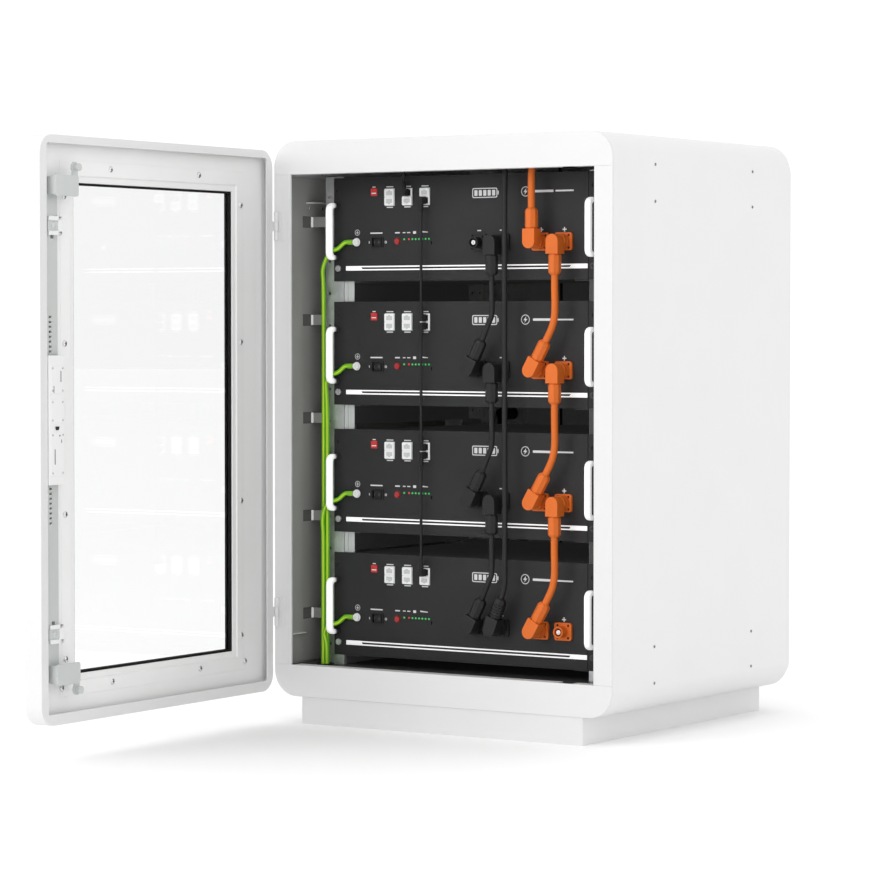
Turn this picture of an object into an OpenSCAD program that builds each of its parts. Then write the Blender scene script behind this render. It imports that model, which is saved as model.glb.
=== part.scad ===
// Floor-standing battery cabinet with four rack-mounted battery modules.
// X runs to the right seen from the front, Y to the rear, Z up.
// The origin is the centre of the plinth's underside, on the floor.

/* [Cabinet] */
// Width of the cabinet body
body_w = 612; // [612:1:616]
// Depth of the cabinet body
body_d = 554; // [554:1:560]
// Height of the cabinet body above its plinth
body_h = 864; // [864:1:868]
// Radius of the body's four long edges
corner_r = 40; // [30:1:44]
// Thickness of the sheet metal
sheet = 2; // [1.5:0.5:2]
// Height of the plinth
plinth_h = 42; // [42:1:60]
// Width of the plinth
plinth_w = 510; // [480:1:540]
// Depth of the plinth
plinth_d = 550; // [520:1:552]
// Width of the front opening
opening_w = 549; // [549:1:550]
// Height of the front rail under the opening
bottom_rail_h = 49; // [49:1:49]
// Height of the front rail over the opening
top_rail_h = 52; // [52:1:52]

/* [Front door] */
// How far the door stands open at rest, in degrees
door_open = 88; // [0:1:120]
// Width of the door
door_w = 580; // [578:1:580]
// Height of the door
door_h = 840; // [836:1:840]
// Thickness of the door
door_t = 29; // [27:1:30]
// Radius of the door's corners
door_r = 28; // [24:1:32]
// Width of the window
window_w = 395; // [380:1:396]
// Height of the window
window_h = 706; // [690:1:708]

/* [Batteries] */
// Height of one battery's front panel
panel_h = 161; // [161:1:162]
// Width of one battery's front panel, ears included
panel_w = 482.6; // [482.6:0.1:482.6]
// Width of one battery's case
case_w = 442; // [440:1:443]
// Depth of one battery's case
case_d = 420; // [400:1:430]
// How far the panels stand back from the cabinet's front
setback = 69; // [66:1:69]
// Angle of the lower positive plugs from upright
positive_tilt = 30; // [25:1:32]
// Angle of the lower negative plugs from upright
negative_tilt = 27; // [22:1:28]

/* [Hidden] */
$fn = 48;
eps = 0.01;

// Levels and planes of the cabinet
top_z = plinth_h + body_h;
mid_z = plinth_h + body_h / 2;
front_y = -body_d / 2;
rear_y = body_d / 2;
opening_z0 = plinth_h + bottom_rail_h;
opening_z1 = top_z - top_rail_h;
flange_d = 22;
floor_z = opening_z0 - 3;
liner_x = 300;
post_x = 224;
post_out_x = 258;
front_post_y = [-205, -171];
rear_post_y = [134, 192];
tab_z = [165, 319.5, 474, 628.5, 783];
tab_y = -185;
side_screw_y = 152;
side_screw_z = [85, 140, 805, 860];
side_screw_r = 2.3;

// Batteries: underside of each one, top battery first
module_z = [689, 496, 297, 103.5];
panel_y = front_y + setback;
panel_t = 3;
case_front_y = panel_y + panel_t;
case_rear_y = case_front_y + case_d - 5;
case_t = 1.6;
ear_x = 223;
ear_hole_x = 232.5;
ear_hole_z = [20, 140];
handle_x = 235.5;
handle_z = [33, 122];
handle_reach = 25;

// Front panel features, measured from the panel's lower edge
ground_x = -196;
ground_z = 60.5;
dip_x = -164.4;
dip_z = 137.6;
stack_x = [-134.7, -101.7, -69.2];
stack_z = 129.4;
stack_w = 18;
stack_h = 26.5;
rocker_x = -158;
rocker_z = 60;
rocker_swing = 9;
button_x = -120.5;
button_z = 61;
led_z = 64;
led_x = [-108, -99, for (i = [0:5]) -92.7 + 6.14 * i];
reset_x = -57;
reset_z = 58;
socket_z = 57;
negative_x = [30, 70.5];
positive_x = [141, 182];
strip_z = 20;
strip_x = 2.5;

// Cells of one battery, in two rows of eight
cell_w = 48;
cell_d = 166;
cell_h = 116;
cell_pitch = 50;
cell_x = -199;
cell_rows = [-155, 20];
cell_z = 14;

// Data ports in use, as battery, port column and upper (1) or lower (-1)
data_ports = [[0, 1, 1], [0, 2, -1], [1, 2, 1], [1, 2, -1], [2, 2, 1], [2, 2, -1], [3, 2, 1]];
port_z = 6.3;
boot_end = 15.6;

// Battery plugs: elbow on the socket's axis, then a straight sleeve
plug_reach = 28;
plug_len = 49;
positive_r = 5.4;
negative_r = 4.2;
data_r = 2.2;
earth_r = 3.4;
plug_y = panel_y - plug_reach;
data_y = panel_y - 11;
feed_r = 48;
feed_top_z = 894;
feed_rear_y = 245;
data_feed_r = 30;
gland_z = floor_z + 12;
negative_feed_x = 94;
negative_feed_tilt = 20;
earth_spot = [[-255.6, -216], [-248.6, -216], [-252.1, -222.1], [-245.1, -222.1]];
earth_bar_z = 64;

// Front door, drawn closed and then swung open about the hinge line
hinge_x = -299;
hinge_y = front_y - 5;
hinge_r = 3.5;
pin_r = 2;
leaf_t = 1.2;
leaf_h = 44;
leaf_z = [151, 752];
door_gap = 5;
rim_y = front_y - door_gap;
skin_y = rim_y - door_t;
door_z = 471;
window_z = 472;
lip = 16;
frame_y = rim_y - 12.6;
glass_y = [skin_y + 6, skin_y + 10];
glass_lap = 7.5;
lock_x = 255;
lock_z = 486;
rod_y = rim_y - 9;
rod_w = 24;
rod_t = 3;
plate_y = front_y + 2.5;
arm_x = 222;
arm_r = 7.5;
guide_z = [181, 762];
pinion_m = 1.5;
pinion_teeth = 12;
pinion_pitch_r = pinion_m * pinion_teeth / 2;
rack_pitch = PI * pinion_m;
rear_lock_x = 236;

// ---------------------------------------------------------------- helpers

module rounded_rect(w, h, r) {
    square([w - 2 * r, h], center = true);
    square([w, h - 2 * r], center = true);
    for (sx = [-1, 1], sz = [-1, 1])
        translate([sx * (w / 2 - r), sz * (h / 2 - r)]) circle(r = r);
}

// Extrudes an outline drawn in X and Z from y0 back to y1
module along_y(y0, y1) {
    translate([0, y1, 0]) rotate([90, 0, 0]) linear_extrude(y1 - y0) children();
}

// Box given by its lowest and highest corner
module box(a, b) {
    translate(a) cube(b - a);
}

module rod_along_y(x, z, r, y0, y1) {
    translate([x, y0, z]) rotate([-90, 0, 0]) cylinder(r = r, h = y1 - y0);
}

module both_sides() {
    children();
    mirror([1, 0, 0]) children();
}

// Places a piece of the front door, drawn closed, at its resting angle
module on_front_door() {
    translate([hinge_x, hinge_y, 0]) rotate([0, 0, -door_open])
        translate([-hinge_x, -hinge_y, 0]) children();
}

// Turns a piece drawn for the front round to the rear
module on_rear() {
    rotate([0, 0, 180]) children();
}

module on_each_battery() {
    for (z = module_z) translate([0, 0, z]) children();
}

// Round tube swept along a list of points. The reference direction
// is never parallel to the route.
function unit(v) = v / norm(v);
function tangent(p, i) =
    i == 0 ? unit(p[1] - p[0]) :
    i == len(p) - 1 ? unit(p[i] - p[i - 1]) :
    unit(unit(p[i + 1] - p[i]) + unit(p[i] - p[i - 1]));
function ring(p, i, r, n, ref) =
    let (t = tangent(p, i), u = unit(cross(t, ref)), v = cross(t, u))
    [for (k = [0:n - 1]) p[i] + r * (cos(360 * k / n) * u + sin(360 * k / n) * v)];

module tube(p, r, n, ref) {
    m = len(p);
    points = [for (i = [0:m - 1]) each ring(p, i, r, n, ref)];
    sides = [for (i = [0:m - 2], k = [0:n - 1])
        [i * n + k, i * n + (k + 1) % n, (i + 1) * n + (k + 1) % n, (i + 1) * n + k]];
    first = [for (k = [0:n - 1]) n - 1 - k];
    last = [for (k = [0:n - 1]) (m - 1) * n + k];
    polyhedron(points = points, faces = concat([first], sides, [last]), convexity = 4);
}

// ---------------------------------------------------------------- cabinet

module body_outline(inset = 0) {
    translate([0, mid_z])
        rounded_rect(body_w - 2 * inset, body_h - 2 * inset, corner_r - inset);
}

module plinth() {
    wall = sheet;
    flange = 28;
    hx = plinth_w / 2;
    hy = plinth_d / 2;
    color("whitesmoke") {
        difference() {
            box([-hx, -hy, 0], [hx, hy, plinth_h]);
            box([-hx + wall, -hy + wall, wall], [hx - wall, hy - wall, plinth_h - wall]);
            box([-hx + flange, -hy + flange, -1], [hx - flange, -40, plinth_h + 1]);
            box([-hx + flange, 40, -1], [hx - flange, hy - flange, plinth_h + 1]);
            for (sx = [-1, 1], sy = [-1, 1])
                translate([sx * (hx - 14), sy * (hy - 75), -1]) cylinder(r = 6, h = wall + 2);
        }
    }
}

module outer_shell() {
    color("white") difference() {
        along_y(front_y + sheet, rear_y - sheet) difference() {
            body_outline();
            body_outline(sheet);
        }
        for (sx = [-1, 1], y = [-side_screw_y, side_screw_y], z = side_screw_z)
            translate([sx * body_w / 2, y, z]) rotate([0, 90, 0])
                cylinder(r = side_screw_r - 0.6, h = 12, center = true);
    }
}

// The two front rails share one outline: their sheet, a folded flange
// and a gap in the flange for the lock's hook
module front_rail(z0, z1, flange_z) {
    along_y(front_y, front_y + sheet) intersection() {
        body_outline();
        translate([-body_w, z0]) square([2 * body_w, z1 - z0]);
    }
    difference() {
        box([-opening_w / 2 + 3, front_y + sheet - eps, flange_z],
            [opening_w / 2 - 3, front_y + flange_d, flange_z + sheet]);
        box([arm_x - 13, front_y + sheet, flange_z - 1],
            [arm_x + 13, front_y + flange_d + 1, flange_z + sheet + 1]);
    }
}

module front_top_rail() {
    color("white") front_rail(opening_z1, top_z + 1, opening_z1);
}

module front_bottom_rail() {
    color("white") front_rail(plinth_h - 1, opening_z0, opening_z0 - sheet);
}

module front_stiles() {
    color("white") both_sides() {
        box([opening_w / 2, front_y, opening_z0], [body_w / 2, front_y + sheet, opening_z1]);
        box([opening_w / 2, front_y + sheet - eps, opening_z0],
            [opening_w / 2 + sheet, front_y + 4, opening_z1]);
    }
}

module rear_frame() {
    color("white") along_y(rear_y - sheet, rear_y) difference() {
        body_outline();
        translate([0, mid_z]) square([500, 752], center = true);
    }
}

module base_plate() {
    color("gainsboro") difference() {
        box([-liner_x, front_y + 24, floor_z - sheet], [liner_x, rear_y - 5, floor_z]);
        for (x = [positive_x[0], negative_feed_x, stack_x[1]])
            translate([x, feed_rear_y, floor_z - 5]) cylinder(r = 10.2, h = 10);
        translate([-250, -219, floor_z - 5]) cylinder(r = 12, h = 10);
    }
}

// Inner wall sheets with a row of punched and bent cable tabs
module side_liners() {
    color("silver") both_sides() {
        difference() {
            box([-liner_x - 2, front_y + 25, floor_z + 2], [-liner_x, rear_y - 10, opening_z1 - 2]);
            for (z = tab_z)
                box([-liner_x - 4, tab_y - 24, z - 9], [-liner_x + 2, tab_y - 1, z + 9]);
        }
        for (z = tab_z)
            box([-liner_x - 1, tab_y - 1, z - 8], [-post_out_x - 3, tab_y + 1, z + 8]);
    }
}

module post(y0, y1) {
    box([-post_out_x, y0, floor_z], [-post_x, y0 + 2, opening_z1 - 2]);
    box([-post_x - 2, y0, floor_z], [-post_x, y1, opening_z1 - 2]);
    box([-post_out_x, y1 - 2, floor_z], [-post_x, y1, opening_z1 - 2]);
}

module rack_posts() {
    color("lightsteelblue") both_sides() {
        difference() {
            post(front_post_y[0], front_post_y[1]);
            for (z = module_z, h = ear_hole_z)
                rod_along_y(-ear_hole_x, z + h, 3.4, front_post_y[0] - 1, front_post_y[0] + 3);
            for (z = [floor_z + 32:50:opening_z1 - 20])
                rod_along_y(-251, z, 2.5, front_post_y[0] - 1, front_post_y[0] + 3);
        }
        post(rear_post_y[0], rear_post_y[1]);
    }
}

// Angle rails that carry the batteries' sides
module support_rails() {
    color("dimgray") both_sides() for (z = module_z) {
        web_z = max(z - 31, floor_z + 1);
        box([-post_x, front_post_y[0] + 4, web_z], [-post_x + 1.8, rear_post_y[1], z - 0.1]);
        box([-post_x, front_post_y[0] + 4, z - 2.1], [-196, rear_post_y[1], z - 0.1]);
    }
}

module side_screws() {
    color("silver") both_sides() for (y = [-side_screw_y, side_screw_y], z = side_screw_z)
        translate([body_w / 2, y, z]) rotate([0, 90, 0]) {
            translate([0, 0, -3.6]) cylinder(r = side_screw_r - 0.8, h = 3.7);
            cylinder(r = side_screw_r, h = 0.7);
        }
}

module rack_screws() {
    color("silver") on_each_battery() both_sides() {
        rod_along_y(ear_hole_x, ear_hole_z[0], 5, panel_y - 2, panel_y + 1);
        rod_along_y(ear_hole_x, ear_hole_z[0], 2.9, panel_y + 1 - eps, panel_y + 12);
    }
}

// Fixed hinge leaf with its pressed-in pin, standing on z = 0
module fixed_leaf() {
    knuckle_h = 14;
    translate([hinge_x, hinge_y, 0]) {
        cylinder(r = hinge_r, h = knuckle_h);
        translate([0, 0, leaf_h - knuckle_h]) cylinder(r = hinge_r, h = knuckle_h);
        cylinder(r = pin_r, h = leaf_h);
    }
    for (z = [0, leaf_h - knuckle_h])
        box([hinge_x - 2, hinge_y + 1, z], [hinge_x + 2, front_y - leaf_t + eps, z + knuckle_h]);
    box([hinge_x - 4, front_y - leaf_t, 0], [hinge_x + 12, front_y, leaf_h]);
}

// Moving hinge leaf: a knuckle round the pin and a plate on the door's edge
module moving_leaf() {
    z0 = 14.4;
    z1 = leaf_h - 14.4;
    door_x = -door_w / 2;
    difference() {
        union() {
            translate([hinge_x, hinge_y, z0]) cylinder(r = hinge_r, h = z1 - z0);
            box([hinge_x, hinge_y - hinge_r, z0], [door_x - 1, hinge_y - pin_r, z1]);
        }
        translate([hinge_x, hinge_y, z0 - 1]) cylinder(r = pin_r + 0.05, h = z1 - z0 + 2);
    }
    box([door_x - 2, skin_y + 6, 0], [door_x, hinge_y - pin_r, leaf_h]);
}

module cabinet_hinge_leaves() {
    color("gainsboro") for (z = leaf_z) {
        translate([0, 0, z]) fixed_leaf();
        on_rear() translate([0, 0, z]) fixed_leaf();
    }
}

// Cable gland in the base plate, with a closed cap below it
module gland(r) {
    difference() {
        union() {
            cylinder(r = 14, h = gland_z - floor_z, $fn = 6);
            translate([0, 0, -14]) cylinder(r = 10, h = 14 + eps);
            translate([0, 0, -14]) cylinder(r = 13, h = 9, $fn = 6);
        }
        translate([0, 0, -10]) cylinder(r = r + 0.1, h = 60);
    }
}

module cable_glands() {
    color("dimgray") {
        translate([positive_x[0], feed_rear_y, floor_z]) gland(positive_r);
        translate([negative_feed_x, feed_rear_y, floor_z]) gland(negative_r);
        translate([stack_x[1], feed_rear_y, floor_z]) gland(data_r);
        translate([-250, -219, floor_z - 3]) difference() {
            union() {
                cylinder(r = 14, h = 1);
                cylinder(r = 11.8, h = 4);
                translate([0, 0, 3]) cylinder(r = 14, h = 2);
            }
            translate([0, 0, -1]) cylinder(r = 10, h = 9);
        }
    }
}

module earth_bar() {
    color("peru") {
        box([-276, -232, earth_bar_z - 4], [-224, -206, earth_bar_z]);
        for (x = [-271, -229])
            translate([x, -219, earth_bar_z - eps]) cylinder(r = 4, h = floor_z - sheet - earth_bar_z);
    }
}

// -------------------------------------------------------------- batteries

module battery_cases() {
    color("#2b2b2d") on_each_battery() difference() {
        box([-case_w / 2, case_front_y, 0], [case_w / 2, case_rear_y, panel_h - 2]);
        box([-case_w / 2 + case_t, case_front_y - 1, case_t],
            [case_w / 2 - case_t, case_rear_y - case_t, panel_h - 2 - case_t]);
    }
}

module window(x, z, w, h) {
    box([x - w / 2, panel_y - 1, z - h / 2], [x + w / 2, case_front_y + 1, z + h / 2]);
}

module panel_hole(x, z, r) {
    rod_along_y(x, z, r, panel_y - 2, case_front_y + 1);
}

module front_panels() {
    color("#2f2f31") on_each_battery() difference() {
        union() {
            box([-ear_x, panel_y, 0], [ear_x, case_front_y, panel_h]);
            box([-panel_w / 2, panel_y + 1, 0], [panel_w / 2, case_front_y, panel_h]);
        }
        for (x = stack_x) window(x, stack_z, stack_w + 0.4, stack_h + 0.4);
        window(dip_x, dip_z, 12, 12);
        window(rocker_x, rocker_z, 20.8, 14.8);
        window(reset_x, reset_z, 2.4, 5);
        panel_hole(button_x, button_z, 4.8);
        panel_hole(ground_x, ground_z, 3.2);
        for (x = led_x) panel_hole(x, led_z, 1.6);
        for (x = concat(negative_x, positive_x)) panel_hole(x, socket_z, 8);
        for (x = [-ear_hole_x, ear_hole_x], z = ear_hole_z) panel_hole(x, z, 3.4);
    }
}

// Bar handle bent at both ends, on the panel's ear
module bar_handle() {
    w = 11;
    t = 8;
    y1 = panel_y + 1;
    y0 = y1 - handle_reach;
    r = 12;
    length = handle_z[1] - handle_z[0];
    module bent(depth, span, radius) {
        translate([depth / 2, 0]) rounded_rect(depth, span, radius);
        translate([radius, -span / 2]) square([depth - radius, span]);
    }
    translate([handle_x - w / 2, 0, handle_z[0] + length / 2]) rotate([90, 0, 90])
        linear_extrude(w) translate([y0, 0]) difference() {
            bent(handle_reach, length, r);
            translate([t, 0]) bent(handle_reach, length - 2 * t, r - t);
        }
}

module battery_handles() {
    color("gainsboro") on_each_battery() both_sides() bar_handle();
}

// Two thin silver lines between two slanted end blocks
module trim_strips() {
    half = 220;
    block = 27;
    rise = 3.5;
    line = 2.1;
    color("gainsboro") on_each_battery() along_y(panel_y - 0.6, panel_y)
        translate([strip_x, strip_z]) {
            for (s = [0, 1]) mirror([s, 0]) polygon([
                [half, -rise], [half, rise], [half - block, rise], [half - block - 6, -rise]]);
            for (z = [-rise, rise - line])
                translate([-half + 4, z]) square([2 * half - 8, line]);
        }
}

module cell_packs() {
    color("steelblue") on_each_battery() {
        box([-206, cell_rows[0] - 4, 3], [206, cell_rows[1] + cell_d + 4, cell_z]);
        for (y = cell_rows, i = [0:7])
            translate([cell_x + cell_pitch * i, y, cell_z - eps]) cube([cell_w, cell_d, cell_h + eps]);
    }
}

// Bars that join each cell to the next, at its two ends in turn
module busbars() {
    bar = [76, 18, 2];
    inset = 24;
    color("peru") on_each_battery() for (y = cell_rows, i = [0:6])
        translate([cell_x + 12 + cell_pitch * i,
            y + (i % 2 == 0 ? inset : cell_d - inset - bar[1]), cell_z + cell_h]) cube(bar);
}

module control_boards() {
    y = case_front_y + 25;
    color("seagreen") on_each_battery() {
        box([-205, y, 10], [205, y + 2, 148]);
        for (x = [-170, -110, -50, 40, 110]) box([x, y + 2 - eps, 40], [x + 34, y + 9, 74]);
        for (x = [-190, -140, -30, 60, 140]) box([x, y + 2 - eps, 96], [x + 24, y + 12, 132]);
    }
}

module dip_switches() {
    color("firebrick") on_each_battery() {
        difference() {
            box([dip_x - 5.7, panel_y - 0.8, dip_z - 5.7], [dip_x + 5.7, panel_y + 6, dip_z + 5.7]);
            box([dip_x - 4.4, panel_y - 2, dip_z - 3], [dip_x + 4.4, panel_y + 0.6, dip_z + 1.2]);
        }
        for (i = [0:3])
            box([dip_x - 4 + 2.2 * i, panel_y - 0.6, dip_z - 2.6],
                [dip_x - 2.6 + 2.2 * i, panel_y + 0.6 + eps, dip_z - 0.8]);
    }
}

// Stacked pairs of data ports; the ports in use hold a plug
module data_sockets() {
    color("white") difference() {
        on_each_battery() for (x = stack_x)
            box([x - stack_w / 2, panel_y - 1.2, stack_z - stack_h / 2],
                [x + stack_w / 2, panel_y + 16, stack_z + stack_h / 2]);
        for (p = data_ports)
            translate([stack_x[p[1]], panel_y - 2, module_z[p[0]] + stack_z + p[2] * port_z])
                translate([-6, 0, -4.6]) cube([12, 12, 9.2]);
    }
}

// Plug body with its boot turned up or down along the panel
module data_plug(dir) {
    translate([-5.8, -3, -4.4]) cube([11.6, 13, 8.8]);
    translate([-4, -14.5, -5.6]) cube([8, 12, 11.2]);
    translate([0, data_y - panel_y, dir > 0 ? 5.6 - eps : -boot_end]) cylinder(r = 3.4, h = 10 + eps);
}

module data_plugs() {
    color("#1c1c1e") for (p = data_ports)
        translate([stack_x[p[1]], panel_y, module_z[p[0]] + stack_z + p[2] * port_z])
            data_plug(p[2]);
}

module rocker_housings() {
    color("#151516") on_each_battery() difference() {
        union() {
            box([rocker_x - 10.3, panel_y - eps, rocker_z - 7.3],
                [rocker_x + 10.3, panel_y + 17, rocker_z + 7.3]);
            box([rocker_x - 11.5, panel_y - 1.6, rocker_z - 8.5],
                [rocker_x + 11.5, panel_y, rocker_z + 8.5]);
        }
        box([rocker_x - 9.2, panel_y - 3, rocker_z - 6.2],
            [rocker_x + 9.2, panel_y + 14, rocker_z + 6.2]);
    }
}

// Rocker seen from above: two front faces that meet at the pivot line,
// drawn at mid swing and tipped to its first stop
module rocker(i) {
    color("#222224") translate([rocker_x, panel_y + 5, module_z[i] + rocker_z])
        rotate([0, 0, -rocker_swing]) linear_extrude(11.8, center = true) difference() {
            circle(r = 8.7);
            polygon([[-12, -6.9], [0, -5.6], [12, -6.9], [12, -14], [-12, -14]]);
            translate([-12, 4]) square([24, 10]);
        }
}

module sw_button(i) {
    color("red") translate([0, 0, module_z[i]]) {
        rod_along_y(button_x, button_z, 4.4, panel_y - 2.6, case_front_y + 1);
        rod_along_y(button_x, button_z, 5.6, case_front_y + 0.1, case_front_y + 2);
    }
}

module status_leds() {
    color("lime") on_each_battery() for (x = led_x)
        rod_along_y(x, led_z, 1.5, panel_y - 0.5, panel_y + 5);
}

// Earth screw with the ring lug of its wire
module ground_terminals() {
    color("gainsboro") on_each_battery() {
        rod_along_y(ground_x, ground_z, 5, panel_y - 6.2, panel_y - 3.2);
        rod_along_y(ground_x, ground_z, 3, panel_y - 3.2 - eps, panel_y + 8);
        difference() {
            union() {
                rod_along_y(ground_x, ground_z, 6.5, panel_y - 3, panel_y - 1.4);
                box([ground_x - 7, panel_y - 3, ground_z - 3], [ground_x, panel_y - 1.4, ground_z + 3]);
                translate([ground_x - 13, panel_y - 4.5, ground_z]) rotate([0, 90, 0])
                    cylinder(r = 3.4, h = 7);
            }
            rod_along_y(ground_x, ground_z, 3.1, panel_y - 5, panel_y);
        }
    }
}

// Panel socket: flange, barrel and contact pin
module socket(x) {
    difference() {
        union() {
            along_y(panel_y - 4, panel_y) translate([x, socket_z]) rounded_rect(30, 27, 4);
            rod_along_y(x, socket_z, 8.5, panel_y - 18, panel_y - 4 + eps);
            rod_along_y(x, socket_z, 7.8, panel_y - eps, panel_y + 16);
        }
        rod_along_y(x, socket_z, 6.4, panel_y - 19, panel_y - 5);
        for (sx = [-1, 1], sz = [-1, 1])
            rod_along_y(x + sx * 9.4, socket_z + sz * 9.4, 2, panel_y - 5, panel_y - 1);
    }
    rod_along_y(x, socket_z, 3.5, panel_y - 16.5, panel_y - 4.9);
}

module negative_sockets() {
    color("#1a1a1b") on_each_battery() for (x = negative_x) socket(x);
}

module positive_sockets() {
    color("darkorange") on_each_battery() for (x = positive_x) socket(x);
}

// ----------------------------------------------------------------- cables

// Elbow plug on a socket at x; its sleeve points down turned by angle
module plug(x, z, angle) {
    translate([x, panel_y, z + socket_z]) rotate([0, angle, 0]) difference() {
        union() {
            rotate([90, 0, 0]) translate([0, 0, 5]) cylinder(r = 11.4, h = 14);
            translate([0, 0, -19]) linear_extrude(19) polygon([
                [-10.6, -16], [-10.6, -34.5], [-7.6, -37.5], [7.6, -37.5], [10.6, -34.5],
                [10.6, -16]]);
            rotate([90, 0, 0]) translate([0, 0, 16]) cylinder(r = 10.6, h = 18.5);
            rotate([90, 0, 0]) translate([0, 0, 34]) cylinder(r = 7.6, h = 3.5);
            translate([0, -plug_reach, -plug_len]) cylinder(r = 9.4, h = plug_len - 18);
        }
        rotate([90, 0, 0]) cylinder(r = 8.7, h = 18.4);
        rotate([90, 0, 0]) cylinder(r = 3.7, h = 24);
    }
}

module positive_plugs() {
    color("darkorange") {
        plug(positive_x[0], module_z[0], 180);
        for (i = [0:2]) plug(positive_x[1], module_z[i], 0);
        for (i = [1:3]) plug(positive_x[0], module_z[i], 180 + positive_tilt);
    }
}

module negative_plugs() {
    color("#1c1c1e") {
        for (i = [0:2]) plug(negative_x[1], module_z[i], 0);
        for (i = [1:3]) plug(negative_x[0], module_z[i], 180 + negative_tilt);
        plug(negative_x[1], module_z[3], 180 + negative_feed_tilt);
    }
}

// Where a raised sleeve ends, seen from its socket
function sleeve_end(tilt) = plug_len * [sin(tilt), 0, cos(tilt)];

// Link from the right socket of battery i to the left socket of battery i + 1
function link_route(xs, i, tilt) =
    let (a = [xs[1], plug_y, module_z[i] + socket_z - plug_len],
         b = [xs[0], plug_y, module_z[i + 1] + socket_z] + sleeve_end(tilt),
         d = [sin(tilt), 0, cos(tilt)])
    [a, a - [0, 0, 25], [xs[1] + 0.5, plug_y, b[2] + 52], [xs[1] - 0.5, plug_y, b[2] + 38],
     b + 24 * d + [0.5, 0, 3], b + 10 * d, b];

// Feed over the top battery and down behind the batteries to the base
function over_route(x, y, z0, r = feed_r) = concat(
    [[x, y, z0], [x, y, feed_top_z - r]],
    [for (a = [30:30:60]) [x, y + r * (1 - cos(a)), feed_top_z - r * (1 - sin(a))]],
    [[x, y + r, feed_top_z], [x, feed_rear_y - r, feed_top_z]],
    [for (a = [30:30:60]) [x, feed_rear_y - r * (1 - sin(a)), feed_top_z - r * (1 - cos(a))]],
    [[x, feed_rear_y, feed_top_z - r], [x, feed_rear_y, floor_z - 9]]);

module positive_cables() {
    color("darkorange") {
        tube(over_route(positive_x[0], plug_y, module_z[0] + socket_z + plug_len),
            positive_r, 12, [1, 0, 0]);
        for (i = [0:2]) tube(link_route(positive_x, i, positive_tilt), positive_r, 12, [0, 1, 0]);
    }
}

module negative_cables() {
    foot = [negative_x[1], plug_y, module_z[3] + socket_z] + sleeve_end(negative_feed_tilt);
    color("#1c1c1e") {
        tube(concat([foot, foot + [3.4, 0, 9.35], [93.4, plug_y, 228]],
            over_route(negative_feed_x, plug_y, 246)), negative_r, 10, [1, 0.02, 0]);
        for (i = [0:2]) tube(link_route(negative_x, i, negative_tilt), negative_r, 10, [0, 1, 0]);
    }
}

module data_cables() {
    up = stack_z + port_z + boot_end;
    down = stack_z - port_z - boot_end;
    color("#1c1c1e") {
        tube(over_route(stack_x[1], data_y, module_z[0] + up, data_feed_r), data_r, 8, [1, 0, 0]);
        for (i = [0:2])
            tube([[stack_x[2], data_y, module_z[i] + down],
                [stack_x[2], data_y, module_z[i + 1] + up]], data_r, 8, [0, 1, 0]);
    }
}

// Earth wire: from its lug through the handle, then down beside the others
function earth_route(i) =
    let (z = module_z[i], s = earth_spot[i])
    [[ground_x - 13, panel_y - 4.5, z + 60.5], [ground_x - 20, panel_y - 4.5, z + 60.5],
     [-228, panel_y - 7, z + 51], [-241.5, s[1] + 0.5, z + 46], [-250, s[1], z + 35],
     [s[0] - 1, s[1], z + 18], [s[0], s[1], z - 4], [s[0], s[1], earth_bar_z]];

module earth_wires() {
    color("yellowgreen") for (i = [0:3]) tube(earth_route(i), earth_r, 8, [0, 1, 0]);
}

// ------------------------------------------------------------- front door

module door_outline(inset = 0) {
    translate([0, door_z])
        rounded_rect(door_w - 2 * inset, door_h - 2 * inset, door_r - inset);
}

module window_outline(grow = 0) {
    translate([0, window_z]) square([window_w + 2 * grow, window_h + 2 * grow], center = true);
}

module door_pan() {
    color("white") on_front_door() {
        difference() {
            along_y(skin_y, rim_y) door_outline();
            along_y(skin_y + 2, rim_y - 2) door_outline(2);
            along_y(rim_y - 3, rim_y + 1) translate([0, door_z + 2])
                rounded_rect(door_w - 2 * lip, door_h - 2 * lip + 4, 4);
            along_y(skin_y - 1, skin_y + 3) window_outline();
            rod_along_y(lock_x, lock_z, 8, skin_y - 1, skin_y + 3);
        }
    }
}

module door_inner_frame() {
    color("whitesmoke") on_front_door() difference() {
        union() {
            along_y(frame_y - 2, frame_y) difference() {
                door_outline(2.2);
                window_outline();
            }
            along_y(skin_y + 2, frame_y - 2 + eps) difference() {
                window_outline(13);
                window_outline(11);
            }
        }
        rod_along_y(lock_x, lock_z, 7, frame_y - 3, frame_y + 1);
    }
}

module door_glass() {
    color([0.8, 0.9, 0.95, 0.4]) on_front_door()
        along_y(glass_y[0], glass_y[1]) window_outline(glass_lap);
}

// Rubber channel that holds the glass
module window_seal() {
    color("#1a1a1a") on_front_door() difference() {
        along_y(skin_y + 2, frame_y - 2) difference() {
            window_outline(10.8);
            window_outline(-3.2);
        }
        along_y(glass_y[0], glass_y[1]) window_outline(glass_lap);
    }
}

module door_screws() {
    spots = concat(
        [for (sx = [-1, 1], z = [142, 350, 594.5, 805]) [sx * 220, z]],
        [for (sx = [-1, 1], z = [100, 847]) [sx * 110, z]],
        [for (sx = [-1, 1]) [sx * 229, 101]]);
    color("silver") on_front_door() for (s = spots) difference() {
        rod_along_y(s[0], s[1], 4.4, frame_y, frame_y + 3);
        rod_along_y(s[0], s[1], 1.5, frame_y + 1, frame_y + 4);
    }
}

module door_hinge_leaves() {
    color("gainsboro") on_front_door() for (z = leaf_z) translate([0, 0, z]) moving_leaf();
}

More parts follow.
